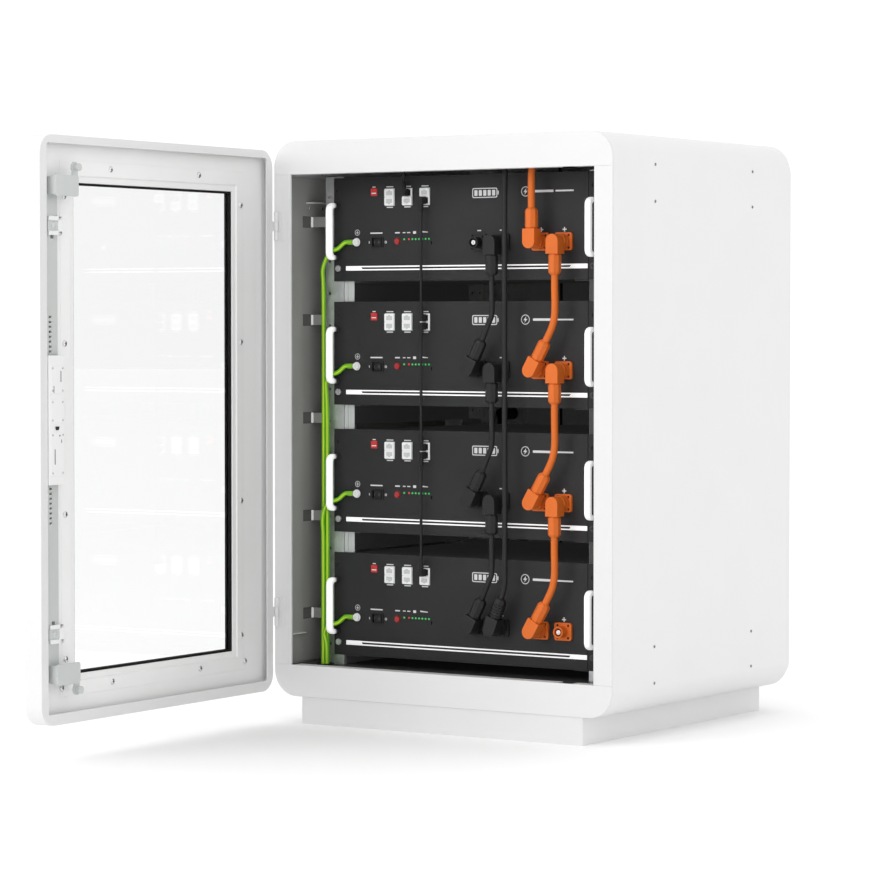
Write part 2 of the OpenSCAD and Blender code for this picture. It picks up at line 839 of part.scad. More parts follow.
module lock_case() {
    w = 36;
    half = 92;
    color("whitesmoke") on_front_door() difference() {
        box([lock_x - w / 2, frame_y, lock_z - half], [lock_x + w / 2, rim_y + 2, lock_z + half]);
        box([lock_x - w / 2 + 1.6, frame_y - 1, lock_z - half - 1],
            [lock_x + w / 2 - 1.6, rim_y - 1, lock_z + half + 1]);
    }
}

// Slide guides: a boss through the rod's slot under a wide cap
module rod_guides() {
    color("white") on_front_door() for (z = guide_z) {
        rod_along_y(lock_x, z, 3, frame_y, rod_y + rod_t + 0.4 + eps);
        box([lock_x - 17, rod_y + rod_t + 0.4, z - 13], [lock_x + 13, rim_y - 1, z + 13]);
    }
}

module lock_escutcheon() {
    color("dimgray") on_front_door() difference() {
        along_y(skin_y - 2, skin_y) translate([lock_x, lock_z]) rounded_rect(32, 120, 8);
        rod_along_y(lock_x, lock_z, 9, skin_y - 3, skin_y + 1);
    }
}

module front_handle() {
    y0 = skin_y - 21;
    color("#3a3a3c") on_front_door() difference() {
        union() {
            rod_along_y(lock_x, lock_z, 13, y0, skin_y - 2.4);
            along_y(y0, y0 + 10) {
                translate([lock_x - 9, lock_z]) square([18, 96]);
                translate([lock_x, lock_z + 96]) circle(r = 9);
            }
        }
        rod_along_y(lock_x, lock_z, 5, skin_y - 12, skin_y);
    }
}

// Straight-sided gear teeth with room to run against the rods' racks
module pinion_outline() {
    root_r = pinion_pitch_r - 1.9;
    circle(r = root_r);
    for (k = [0:pinion_teeth - 1]) rotate(360 * k / pinion_teeth) polygon([
        [root_r - 1, -1.25], [root_r - 1, 1.25], [pinion_pitch_r, 0.85],
        [pinion_pitch_r + 1.3, 0.4], [pinion_pitch_r + 1.3, -0.4], [pinion_pitch_r, -0.85]]);
}

module lock_pinion() {
    color("silver") on_front_door() {
        along_y(rod_y + 0.2, rod_y + rod_t - 0.2) translate([lock_x, lock_z]) pinion_outline();
        rod_along_y(lock_x, lock_z, 5, skin_y - 12, rod_y + 1);
    }
}

// Toothed tail of a rod, beside the pinion at the origin; teeth point to -X
module rack_tail() {
    p = pinion_pitch_r;
    translate([p + 1.9, -22]) square([4, 104]);
    for (k = [-4:2]) translate([p, (k + 0.5) * rack_pitch]) polygon([
        [2, -1.25], [2, 1.25], [0, 0.85], [-1.2, 0.4], [-1.2, -0.4], [0, -0.85]]);
}

// Flat rod, its rack, the raised hook plate and the hook's stud,
// drawn for the upper rod in heights above the pinion
module lock_rod_body(tail_side, plate_z0, plate_z1, hook_z, guide) {
    travel_gap = 1;
    along_y(rod_y, rod_y + rod_t) difference() {
        union() {
            scale([tail_side, 1]) rack_tail();
            translate([-rod_w / 2, 76]) square([rod_w, plate_z1 - 79]);
        }
        translate([-3.6, guide - 3 - 14.2 - travel_gap]) square([7.2, 6 + 14.2 + 2 * travel_gap]);
        for (k = [0:7]) translate([2, 96 + 7 * k]) square([6, 3]);
    }
    box([rod_w / 2 - 3, rod_y + rod_t - eps, plate_z0 + 2],
        [rod_w / 2, plate_y + 3, plate_z1 - 3]);
    along_y(plate_y, plate_y + 3) {
        translate([rod_w / 4 - 20.5, (plate_z0 + plate_z1) / 2])
            rounded_rect(rod_w / 2 + 41, plate_z1 - plate_z0, 4);
        translate([-39, plate_z1 - 4]) square([11, hook_z - plate_z1 + 4]);
        translate([arm_x - lock_x, hook_z]) circle(r = arm_r);
    }
    rod_along_y(arm_x - lock_x, hook_z, 3, plate_y + 3 - eps, plate_y + 8);
    rod_along_y(arm_x - lock_x, hook_z, 5.5, plate_y + 8 - eps, plate_y + 11);
}

module upper_lock_rod() {
    color("silver") on_front_door() translate([lock_x, 0, lock_z])
        lock_rod_body(1, 804 - lock_z, 834 - lock_z, 845.5 - lock_z, guide_z[1] - lock_z);
}

module lower_lock_rod() {
    color("silver") on_front_door() translate([lock_x, 0, lock_z]) mirror([0, 0, 1])
        lock_rod_body(-1, lock_z - 139, lock_z - 109, lock_z - 99.8, lock_z - guide_z[0]);
}

// -------------------------------------------------------------- rear door

module rear_door_panel() {
    color("white") on_rear() difference() {
        along_y(skin_y, rim_y) door_outline();
        along_y(skin_y + 2, rim_y - 2) door_outline(2);
        along_y(rim_y - 3, rim_y + 1) door_outline(lip);
        for (z0 = [170, 640], k = [0:7], x = [-110, 110])
            along_y(skin_y - 1, skin_y + 3) translate([x, z0 + 16 * k])
                rounded_rect(180, 6, 2.9);
        rod_along_y(rear_lock_x, door_z, 10.3, skin_y - 1, skin_y + 3);
    }
}

module rear_door_leaves() {
    color("gainsboro") on_rear() for (z = leaf_z) translate([0, 0, z]) moving_leaf();
}

// Quarter-turn lock: grip outside, barrel and cam inside
module rear_lock() {
    color("dimgray") on_rear() {
        rod_along_y(rear_lock_x, door_z, 14, skin_y - 5, skin_y - 0.3);
        box([rear_lock_x - 3, skin_y - 16, door_z - 13], [rear_lock_x + 3, skin_y - 5 + eps, door_z + 13]);
        rod_along_y(rear_lock_x, door_z, 10, skin_y - 0.3 - eps, front_y + 2.5);
        along_y(front_y + 2.5, front_y + 5.5) translate([rear_lock_x, door_z]) {
            circle(r = 10);
            translate([-7, -34]) square([14, 34]);
        }
    }
}

plinth();
outer_shell();
front_top_rail();
front_bottom_rail();
front_stiles();
rear_frame();
base_plate();
side_liners();
rack_posts();
support_rails();
side_screws();
rack_screws();
cabinet_hinge_leaves();
cable_glands();
earth_bar();
battery_cases();
front_panels();
battery_handles();
trim_strips();
cell_packs();
busbars();
control_boards();
dip_switches();
data_sockets();
rocker_housings();
status_leds();
ground_terminals();
negative_sockets();
positive_sockets();
positive_plugs();
negative_plugs();
positive_cables();
negative_cables();
data_plugs();
data_cables();
earth_wires();
rocker(0);  // rocker_1
rocker(1);  // rocker_2
rocker(2);  // rocker_3
rocker(3);  // rocker_4
sw_button(0);  // sw_button_1
sw_button(1);  // sw_button_2
sw_button(2);  // sw_button_3
sw_button(3);  // sw_button_4
door_pan();
door_inner_frame();
door_glass();
window_seal();
door_screws();
door_hinge_leaves();
lock_case();
rod_guides();
lock_escutcheon();
front_handle();
lock_pinion();
upper_lock_rod();
lower_lock_rod();
rear_door_panel();
rear_door_leaves();
rear_lock();
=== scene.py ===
"""Looks of the battery cabinet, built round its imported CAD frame.

Pieces are drawn in millimetres, in the part's own frame, and scaled to metres when they are made.
Door pieces are drawn with the door closed and then turned with it.
"""
import math

import bmesh
import bpy
from mathutils import Matrix, Vector


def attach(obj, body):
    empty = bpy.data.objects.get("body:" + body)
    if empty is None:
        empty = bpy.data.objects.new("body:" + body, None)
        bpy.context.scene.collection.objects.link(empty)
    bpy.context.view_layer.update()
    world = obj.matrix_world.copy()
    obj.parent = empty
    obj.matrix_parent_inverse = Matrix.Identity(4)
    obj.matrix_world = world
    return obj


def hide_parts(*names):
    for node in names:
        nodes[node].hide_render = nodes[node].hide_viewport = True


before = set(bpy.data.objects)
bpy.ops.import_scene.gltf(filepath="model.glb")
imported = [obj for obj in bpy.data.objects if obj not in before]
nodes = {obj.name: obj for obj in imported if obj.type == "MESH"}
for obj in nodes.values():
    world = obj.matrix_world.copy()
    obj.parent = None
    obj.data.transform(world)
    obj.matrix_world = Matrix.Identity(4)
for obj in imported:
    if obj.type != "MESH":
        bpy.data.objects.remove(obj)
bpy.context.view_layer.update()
MM = 0.001

# ---------------- sizes, as in part.scad

# Batteries: the underside of each from the top one down, the face of the panels, the holes in the ears
MODULE_Z = (689, 496, 297, 103.5)
PANEL_Y = -208
PANEL_H = 161
EAR_Y = PANEL_Y + 1
EAR_HOLE_X = 232.5
EAR_SCREW_Z = 20
EAR_HOLE_Z = 140

# Places on a panel, from the middle of the rack and from the battery's underside
GROUND = (-196, 60.5)
DIP = (-164.4, 137.6)
ROCKER = (-158, 60)
ROCKER_REST = -9
BUTTON = (-120.5, 61)
STACK_X = (-134.7, -101.7, -69.2)
STACK_Z = 129.4
STACK_W = 18
PORT_Z = 6.3
PORT_H = 12.2
SOCKET_Z = 57
NEGATIVE_X = (30, 70.5)
POSITIVE_X = (141, 182)

# Data ports with a plug in them, as (battery, stack, 1 for the upper port or -1 for the lower one)
PORTS_IN_USE = ((0, 1, 1), (0, 2, -1), (1, 2, 1), (1, 2, -1), (2, 2, 1), (2, 2, -1), (3, 2, 1))

# Plugs and cables
PLUG_Y = PANEL_Y - 28
PLUG_LEN = 49
PLUG_HEAD_R = 10.6
POSITIVE_TILT = 30
NEGATIVE_TILT = 27
FEED_TILT = 20
POSITIVE_R = 5.4
NEGATIVE_R = 4.2
DATA_R = 2.2
EARTH_R = 3.4
DATA_Y = PANEL_Y - 11
BOOT_END = 15.6
FEED_R = 48
DATA_FEED_R = 30
FEED_TOP_Z = 894
FEED_REAR_Y = 245
NEGATIVE_FEED_X = 94
EARTH_SPOT = ((-255.6, -216), (-248.6, -216), (-252.1, -222.1), (-245.1, -222.1))
EARTH_BAR_Z = 64

# Cabinet
FLOOR_Z = 88
LINER_X = 300
TAB_Z = (165, 319.5, 474, 628.5, 783)
TAB_Y = -185
POST_X = 224
POST_FRONT_Y = -205
RAIL_X = 208

# Front door, closed
HINGE = (-299, -282)
DOOR_OPEN = 88
RIM_Y = -282
SKIN_Y = -311
FRAME_Y = -294.6
WINDOW = (395, 706, 472)
LOCK = (255, 486)
ROD_Y = RIM_Y - 9
GUIDE_Z = (181, 762)

HINGE_LINE = Matrix.Translation((HINGE[0], HINGE[1], 0))
ON_DOOR = HINGE_LINE @ Matrix.Rotation(math.radians(-DOOR_OPEN), 4, "Z") @ HINGE_LINE.inverted()
ON_REAR = Matrix.Rotation(math.pi, 4, "Z")

# ---------------- camera, light and floor

CAMERA_AT = (2.82561, -4.53399, 0.62579)
CAMERA_YAW = 33.57
CAMERA_PITCH = -1.97
CAMERA_LENS = 138.94
DAYLIGHT = 1.08
KEY_AT = (-1.6, -4.4, 2.2)
KEY_AIM = (0, -0.2, 0.45)
KEY_POWER = 42
KEY_SIZE = 2.6
CEILING_POWER = 0.2
CEILING_SPREAD = 120
FLOOR_WHITE = (0.98, 0.98, 0.98, 1)


def add_camera():
    data = bpy.data.cameras.new("camera")
    data.lens = CAMERA_LENS
    data.sensor_width = 36
    data.clip_end = 200
    camera = bpy.data.objects.new("camera", data)
    camera.location = CAMERA_AT
    camera.rotation_euler = (math.radians(90 + CAMERA_PITCH), 0, math.radians(CAMERA_YAW))
    bpy.context.scene.collection.objects.link(camera)
    bpy.context.scene.camera = camera


def add_light(name, kind, at, target, power, size):
    """Light aimed at a target; size is a width in metres, or in degrees for a sun."""
    data = bpy.data.lights.new(name, kind)
    data.energy = power
    if kind == "SUN":
        data.angle = math.radians(size)
    else:
        data.shape = "SQUARE"
        data.size = size
    light = bpy.data.objects.new(name, data)
    light.location = at
    light.rotation_euler = (Vector(target) - Vector(at)).to_track_quat("-Z", "Y").to_euler()
    bpy.context.scene.collection.objects.link(light)


def add_studio():
    """White surroundings, a large key light from the front left and a weak one from above."""
    scene = bpy.context.scene
    scene.view_settings.view_transform = "Standard"
    world = bpy.data.worlds.new("studio")
    world.use_nodes = True
    sky = world.node_tree.nodes["Background"]
    sky.inputs["Color"].default_value = (1, 1, 1, 1)
    sky.inputs["Strength"].default_value = DAYLIGHT
    scene.world = world
    add_light("key", "AREA", KEY_AT, KEY_AIM, KEY_POWER, KEY_SIZE)
    add_light("ceiling", "SUN", (0, 0, 3), (0, 0, 0), CEILING_POWER, CEILING_SPREAD)


def add_floor():
    mesh = bpy.data.meshes.new("floor")
    bm = bmesh.new()
    bmesh.ops.create_circle(bm, cap_ends=True, radius=40, segments=64)
    bm.to_mesh(mesh)
    bm.free()
    floor = bpy.data.objects.new("floor", mesh)
    bpy.context.scene.collection.objects.link(floor)
    paint = bpy.data.materials.new("floor_white")
    paint.use_nodes = True
    shader = paint.node_tree.nodes["Principled BSDF"]
    shader.inputs["Base Color"].default_value = FLOOR_WHITE
    shader.inputs["Roughness"].default_value = 0.9
    shader.inputs["Specular IOR Level"].default_value = 0.1
    mesh.materials.append(paint)


add_camera()
add_studio()
add_floor()

# ---------------- materials


class Paint:
    """One procedural material, with short calls for the links it usually needs."""

    def __init__(self, name, **sockets):
        self.material = bpy.data.materials.new(name)
        self.material.use_nodes = True
        self.tree = self.material.node_tree
        self.shader = self.tree.nodes["Principled BSDF"]
        for key, value in sockets.items():
            self.shader.inputs[key.replace("_", " ")].default_value = value
        self.place = self.tree.nodes.new("ShaderNodeTexCoord").outputs["Object"]

    def node(self, kind, **inputs):
        node = self.tree.nodes.new("ShaderNode" + kind)
        for key, value in inputs.items():
            socket = node.inputs[key.replace("_", " ")]
            if isinstance(value, bpy.types.NodeSocket):
                self.tree.links.new(value, socket)
            else:
                socket.default_value = value
        return node

    def stretched(self, stretch):
        return self.node("Mapping", Vector=self.place, Scale=stretch).outputs["Vector"]

    def noise(self, scale, detail=3, stretch=(1, 1, 1)):
        """Noise from 0 to 1; scale is in features per metre."""
        node = self.node("TexNoise", Vector=self.stretched(stretch), Scale=scale, Detail=detail)
        return node.outputs["Fac"]

    def ramp(self, factor, stops, constant=False):
        node = self.node("ValToRGB", Fac=factor)
        if constant:
            node.color_ramp.interpolation = "CONSTANT"
        elements = node.color_ramp.elements
        while len(elements) < len(stops):
            elements.new(0.5)
        for element, (place, colour) in zip(elements, stops):
            element.position = place
            element.color = (*colour, 1)
        return node.outputs["Color"]

    def range(self, factor, low, high, a=0.3, b=0.7):
        """Low where the factor is a, and high where it is b."""
        node = self.node("MapRange", Value=factor, From_Min=a, From_Max=b, To_Min=low, To_Max=high)
        return node.outputs["Result"]

    def bump(self, height, depth, strength=0.4):
        """Bump of that depth in millimetres."""
        node = self.node("Bump", Height=height, Distance=depth * MM, Strength=strength)
        return node.outputs["Normal"]

    def set(self, socket, value):
        self.tree.links.new(value, self.shader.inputs[socket])


def shade(colour, factor):
    return tuple(min(1, c * factor) for c in colour)


def coat(name, colour, vary=0.02, grain=500, depth=0.03, rough=(0.35, 0.45), stretch=(1, 1, 1),
         mottle=12, **sockets):
    """Surface with a slow change of tone, a fine grain and a roughness that follows the grain."""
    paint = Paint(name, **sockets)
    tone = paint.noise(mottle, 6, stretch)
    stops = [(0.3, shade(colour, 1 - vary)), (0.7, shade(colour, 1 + vary))]
    paint.set("Base Color", paint.ramp(tone, stops))
    fine = paint.noise(grain, 3, stretch)
    paint.set("Roughness", paint.range(fine, *rough))
    paint.set("Normal", paint.bump(fine, depth))
    return paint


def galvanised(name, colour):
    """Zinc with its crystal pattern."""
    paint = Paint(name, Metallic=0.85)
    cells = paint.node("TexVoronoi", Vector=paint.place, Scale=140).outputs["Color"]
    grey = paint.node("RGBToBW", Color=cells).outputs["Val"]
    paint.set("Base Color", paint.ramp(grey, [(0.2, shade(colour, 0.93)), (0.8, shade(colour, 1.05))]))
    paint.set("Roughness", paint.range(grey, 0.38, 0.5, 0.2, 0.8))
    paint.set("Normal", paint.bump(paint.noise(900), 0.01))
    return paint


def circuit_board(name, colour):
    """Green lacquer over a pattern of tracks."""
    paint = Paint(name, Specular_IOR_Level=0.4)
    turned = paint.node("Mapping", Vector=paint.place, Rotation=(math.pi / 2, 0, 0)).outputs["Vector"]
    tracks = paint.node("TexBrick", Vector=turned, Scale=60, Mortar_Size=0.02, Color1=(0, 0, 0, 1),
                        Color2=(0.2, 0.2, 0.2, 1), Mortar=(1, 1, 1, 1))
    stops = [(0.1, colour), (0.9, shade(colour, 2.2))]
    paint.set("Base Color", paint.ramp(tracks.outputs["Color"], stops))
    paint.set("Roughness", paint.range(paint.noise(200), 0.22, 0.35))
    paint.set("Normal", paint.bump(tracks.outputs["Color"], 0.05))
    return paint


def striped_sheath(name, green, yellow):
    """Green sheath with a yellow stripe along each side, laid out by the tube's UV map."""
    paint = Paint(name, Specular_IOR_Level=0.35)
    around = paint.node("SeparateXYZ", Vector=paint.tree.nodes["Texture Coordinate"].outputs["UV"])
    stops = [(0, green), (0.38, yellow), (0.5, green), (0.88, yellow)]
    paint.set("Base Color", paint.ramp(around.outputs["Y"], stops, constant=True))
    fine = paint.noise(300)
    paint.set("Roughness", paint.range(fine, 0.35, 0.5))
    paint.set("Normal", paint.bump(fine, 0.04))
    return paint


def status_light(name):
    """Green lenses, and a red one second from the left."""
    paint = Paint(name, Coat_Weight=0.5)
    across = paint.node("SeparateXYZ", Vector=paint.place).outputs["X"]
    green, red = (0.05, 0.55, 0.12), (0.75, 0.03, 0.02)
    stops = [(0, green), (0.4, red), (0.6, green)]
    colour = paint.ramp(paint.range(across, 0, 1, -0.109, -0.089), stops, constant=True)
    paint.set("Base Color", colour)
    paint.set("Emission Color", colour)
    paint.shader.inputs["Emission Strength"].default_value = 0.25
    paint.set("Roughness", paint.range(paint.noise(600), 0.15, 0.3))
    return paint


def glowing_bar_shaded_feet(name, bright, dark):
    """Handle bar with a painted white glow, and painted shade on its two feet where they meet the panel."""
    paint = Paint(name, Metallic=0.15)
    depth = paint.node("SeparateXYZ", Vector=paint.place).outputs["Y"]
    # painted shade: the bar darkens towards the panel at its feet
    foot = paint.range(depth, 0, 1, (PANEL_Y - 15) * MM, (PANEL_Y - 8) * MM)
    paint.set("Base Color", paint.ramp(foot, [(0.0, bright), (1.0, dark)]))
    # painted glow: white emission over the bar, fading out at the feet
    paint.set("Emission Color", paint.ramp(foot, [(0.0, (1, 1, 1)), (1.0, (0, 0, 0))]))
    paint.shader.inputs["Emission Strength"].default_value = 0.42
    grain = paint.noise(500, 3, (1, 1, 0.1))
    paint.set("Roughness", paint.range(grain, 0.28, 0.36))
    paint.set("Normal", paint.bump(grain, 0.01))
    return paint


def window_glass(name):
    """Clear glass with the faintest smears."""
    paint = Paint(name, IOR=1.45, Transmission_Weight=1.0)
    smear = paint.noise(5, 4, (1, 1, 3))
    stops = [(0.3, (0.94, 0.943, 0.943)), (0.7, (0.948, 0.952, 0.952))]
    paint.set("Base Color", paint.ramp(smear, stops))
    paint.set("Roughness", paint.range(smear, 0.0, 0.003))
    return paint


finishes = {
    "white_paint": coat("white_paint", (0.745, 0.745, 0.745), 0.008, rough=(0.36, 0.46)),
    "inner_paint": coat("inner_paint", (0.85, 0.855, 0.85), 0.012, rough=(0.4, 0.5)),
    "liner_paint": coat("liner_paint", (0.39, 0.393, 0.375), 0.04, rough=(0.4, 0.52)),
    "zinc_steel": galvanised("zinc_steel", (0.62, 0.63, 0.64)),
    "lock_zinc": coat("lock_zinc", (0.6, 0.625, 0.61), 0.03, 300, 0.02, (0.42, 0.55), (1, 1, 0.15),
                      Metallic=0.2),
    # black steel: its faint white emission is a painted glow that lifts it out of shade
    "black_steel": coat("black_steel", (0.06, 0.06, 0.061), 0.12, 900, 0.06, (0.5, 0.65),
                        Specular_IOR_Level=0.3, Emission_Color=(1, 1, 1, 1), Emission_Strength=0.008),
    "panel_paint": coat("panel_paint", (0.022, 0.022, 0.023), 0.08, 1100, 0.06, (0.5, 0.62),
                        Specular_IOR_Level=0.3),
    # polished aluminium: painted glow on the bar and painted shade at its feet
    "polished_aluminium": glowing_bar_shaded_feet("polished_aluminium", (0.94, 0.94, 0.95), (0.05, 0.05, 0.052)),
    "screw_steel": coat("screw_steel", (0.72, 0.72, 0.73), 0.06, 700, 0.02, (0.22, 0.34), Metallic=1.0),
    "copper": coat("copper", (0.78, 0.4, 0.26), 0.1, 400, 0.02, (0.25, 0.4), (1, 0.2, 1), Metallic=1.0),
    "cell_case": coat("cell_case", (0.05, 0.16, 0.42), 0.1, 60, 0.15, (0.25, 0.4), Coat_Weight=0.3),
    "board_green": circuit_board("board_green", (0.015, 0.11, 0.04)),
    "red_plastic": coat("red_plastic", (0.62, 0.02, 0.018), 0.05, 600, 0.02, (0.3, 0.4)),
    "black_plastic": coat("black_plastic", (0.011, 0.011, 0.012), 0.1, 800, 0.05, (0.45, 0.58),
                          Specular_IOR_Level=0.35),
    "orange_plastic": coat("orange_plastic", (0.7, 0.148, 0.018), 0.04, 700, 0.04, (0.4, 0.52),
                           Specular_IOR_Level=0.3),
    "port_white": coat("port_white", (0.92, 0.925, 0.93), 0.02, 500, 0.02, (0.3, 0.4)),
    "guide_white": coat("guide_white", (0.84, 0.85, 0.84), 0.02, 500, 0.02, (0.35, 0.45)),
    "led_lens": status_light("led_lens"),
    "orange_sheath": coat("orange_sheath", (0.7, 0.15, 0.018), 0.03, 500, 0.05, (0.42, 0.55),
                          Specular_IOR_Level=0.3),
    "black_sheath": coat("black_sheath", (0.012, 0.012, 0.013), 0.08, 500, 0.05, (0.45, 0.6),
                         Specular_IOR_Level=0.35),
    "earth_sheath": striped_sheath("earth_sheath", (0.15, 0.52, 0.012), (0.5, 0.68, 0.03)),
    "black_rubber": coat("black_rubber", (0.006, 0.006, 0.006), 0.1, 900, 0.05, (0.6, 0.75),
                         Specular_IOR_Level=0.2),
    "window_glass": window_glass("window_glass"),
}

# Paints of details that are drawn only here, or that differ from the finish of their CAD slot
EARTH_SLEEVE = coat("earth_sleeve", (0.22, 0.52, 0.02), 0.05, 500, 0.04, (0.4, 0.5))
MARK_WHITE = coat("mark_white", (0.72, 0.72, 0.72), 0.03, 1500, 0.005, (0.5, 0.6))
PORT_GREY = coat("port_grey", (0.58, 0.6, 0.62), 0.05, 800, 0.02, (0.35, 0.5))
CONTACT_GREY = coat("contact_grey", (0.66, 0.66, 0.64), 0.05, 900, 0.01, (0.25, 0.35), Metallic=0.5)
DIM_MARK = coat("dim_mark", (0.11, 0.11, 0.11), 0.03, 1500, 0.005, (0.5, 0.6))
BUTTON_RED = coat("button_red", (0.4, 0.018, 0.018), 0.05, 600, 0.02, (0.3, 0.4))
RING_RED = coat("ring_red", (0.16, 0.012, 0.012), 0.1, 600, 0.02, (0.35, 0.5))
HANDLE_BLACK = coat("handle_black", (0.02, 0.02, 0.021), 0.1, 800, 0.05, (0.35, 0.5))
# glowing mat grey: dark grey with a painted glow from a faint white emission
GLOWING_MAT_GREY = coat("glowing_mat_grey", (0.1, 0.1, 0.1), 0.1, 900, 0.1, (0.7, 0.85), Emission_Color=(1, 1, 1, 1),
                Emission_Strength=0.012)
# slot shade grey: painted shade for the dark plates behind the tab slots
SLOT_SHADE_GREY = coat("slot_shade_grey", (0.14, 0.14, 0.135), 0.1, 700, 0.03, (0.5, 0.6))
# painted highlight: near-white paint with a glow, for bright bends and edges
PAINTED_HIGHLIGHT = coat("painted_highlight", (0.95, 0.95, 0.94), 0.01, 700, 0.01, (0.3, 0.4),
                   Emission_Color=(1, 1, 1, 1), Emission_Strength=0.25)
FLOOR_GREY = coat("floor_grey", (0.042, 0.042, 0.043), 0.05, 500, 0.03, (0.4, 0.5))
# recess shade: near-black painted shade for recesses, holes, cut-outs and gaps
RECESS_SHADE = coat("recess_shade", (0.03, 0.03, 0.032), 0.2, 700, 0.03, (0.55, 0.7),
                   Specular_IOR_Level=0.2)
DARK_STEEL = coat("dark_steel", (0.2, 0.2, 0.21), 0.1, 700, 0.02, (0.35, 0.5), Metallic=0.8)

# ---------------- mesh tools


def circle(radius, x=0, z=0, count=32):
    turns = [2 * math.pi * i / count for i in range(count)]
    return [(x + radius * math.cos(t), z + radius * math.sin(t)) for t in turns]


def round_rect(w, h, r, x=0, z=0, count=5):
    points = []
    for k, (sx, sz) in enumerate(((1, 1), (-1, 1), (-1, -1), (1, -1))):
        for i in range(count + 1):
            t = math.pi / 2 * (k + i / count)
            points.append((x + sx * (w / 2 - r) + r * math.cos(t), z + sz * (h / 2 - r) + r * math.sin(t)))
    return points


def cross(size, width, x=0, z=0):
    a, b = size / 2, width / 2
    shape = ((a, b), (b, b), (b, a), (-b, a), (-b, b), (-a, b), (-a, -b), (-b, -b), (-b, -a), (b, -a),
             (b, -b), (a, -b))
    return [(x + px, z + pz) for px, pz in shape]


def add_plate(bm, loops, y0, y1):
    """Plate from y0 to y1 with that outline in X and Z, and any holes."""
    edges = []
    for loop in loops:
        ring = [bm.verts.new((x, y0, z)) for x, z in loop]
        edges += [bm.edges.new(pair) for pair in zip(ring, ring[1:] + ring[:1])]
    if len(loops) == 1:
        faces = [bm.faces.new(ring)]
    else:
        filled = bmesh.ops.triangle_fill(bm, use_beauty=True, edges=edges)["geom"]
        faces = [part for part in filled if isinstance(part, bmesh.types.BMFace)]
    raised = bmesh.ops.extrude_face_region(bm, geom=faces, use_keep_orig=True)["geom"]
    moved = [part for part in raised if isinstance(part, bmesh.types.BMVert)]
    bmesh.ops.translate(bm, verts=moved, vec=(0, y1 - y0, 0))


def add_box(bm, low, high):
    x0, y0, z0 = low
    x1, y1, z1 = high
    add_plate(bm, [[(x0, z0), (x1, z0), (x1, z1), (x0, z1)]], y0, y1)


def add_lathe(bm, profile, place=Matrix(), count=32):
    """Solid turned about Y from (radius, y) points; it is closed at both ends."""
    rings = []
    for radius, y in profile:
        if radius == 0:
            rings.append([bm.verts.new(place @ Vector((0, y, 0)))])
        else:
            rings.append([bm.verts.new(place @ Vector((x, y, z))) for x, z in circle(radius, count=count)])
    for a, b in zip(rings, rings[1:]):
        for i in range(count):
            j = (i + 1) % count
            if len(a) == 1 and len(b) > 1:
                bm.faces.new((a[0], b[j], b[i]))
            elif len(b) == 1 and len(a) > 1:
                bm.faces.new((a[i], a[j], b[0]))
            elif len(a) > 1:
                bm.faces.new((a[i], a[j], b[j], b[i]))
    for ring in (rings[0], rings[-1]):
        if len(ring) > 1:
            bm.faces.new(ring)


def add_frame(bm, half_w, half_h, centre_z, profile):
    """Mitred frame round a rectangle: profile points are (distance outwards, y), as a closed loop."""
    rings = []
    for out, y in profile:
        w, h = half_w + out, half_h + out
        corners = ((w, h), (-w, h), (-w, -h), (w, -h))
        rings.append([bm.verts.new((x, y, centre_z + z)) for x, z in corners])
    for a, b in zip(rings, rings[1:] + rings[:1]):
        for i in range(4):
            j = (i + 1) % 4
            bm.faces.new((a[i], a[j], b[j], b[i]))


def blend(a, b, s, s0, s1):
    """Point on the line from a, reached at s0, to b, reached at s1."""
    return a * ((s1 - s) / (s1 - s0)) + b * ((s - s0) / (s1 - s0))


def smooth_path(points, step=4.0):
    """Points every few millimetres on a centripetal Catmull-Rom curve through the route."""
    route = [Vector(p) for p in points]
    route = [2 * route[0] - route[1]] + route + [2 * route[-1] - route[-2]]
    path = []
    for i in range(1, len(route) - 2):
        p = route[i - 1:i + 3]
        t = [0.0]
        for a, b in zip(p, p[1:]):
            t.append(t[-1] + math.sqrt((b - a).length))
        count = max(1, round((p[2] - p[1]).length / step))
        for k in range(count):
            s = t[1] + (t[2] - t[1]) * k / count
            low = [blend(p[n], p[n + 1], s, t[n], t[n + 1]) for n in range(3)]
            mid = [blend(low[n], low[n + 1], s, t[n], t[n + 2]) for n in range(2)]
            path.append(blend(mid[0], mid[1], s, t[1], t[2]))
    path.append(route[-2])
    return path


def add_tube(bm, path, radius, sides, side_way):
    """Round tube along a path, with a UV map: U along it, V round it from side_way."""
    layer = bm.loops.layers.uv.new("UVMap")
    rings, along = [], [0.0]
    across = Vector(side_way)
    for i, point in enumerate(path):
        ahead = (path[min(i + 1, len(path) - 1)] - path[max(i - 1, 0)]).normalized()
        across = (across - across.dot(ahead) * ahead).normalized()
        up = ahead.cross(across)
        ring = [point + radius * (math.cos(2 * math.pi * k / sides) * across +
                                  math.sin(2 * math.pi * k / sides) * up) for k in range(sides)]
        rings.append([bm.verts.new(v) for v in ring])
        if i:
            along.append(along[-1] + (point - path[i - 1]).length)
    for i, (a, b) in enumerate(zip(rings, rings[1:])):
        for k in range(sides):
            j = (k + 1) % sides
            face = bm.faces.new((a[k], a[j], b[j], b[k]))
            uvs = ((along[i], k), (along[i], k + 1), (along[i + 1], k + 1), (along[i + 1], k))
            for loop, (u, v) in zip(face.loops, uvs):
                loop[layer].uv = (u * MM, v / sides)
    bm.faces.new(rings[0])
    bm.faces.new(rings[-1])


def soften(obj, width, segments=2):
    """Rounds the sharp edges over a width in millimetres, and evens out the shading."""
    edges = obj.modifiers.new("edges", "BEVEL")
    edges.width = width * MM
    edges.segments = segments
    edges.limit_method = "ANGLE"
    edges.angle_limit = math.radians(30)
    obj.modifiers.new("normals", "WEIGHTED_NORMAL").weight = 100


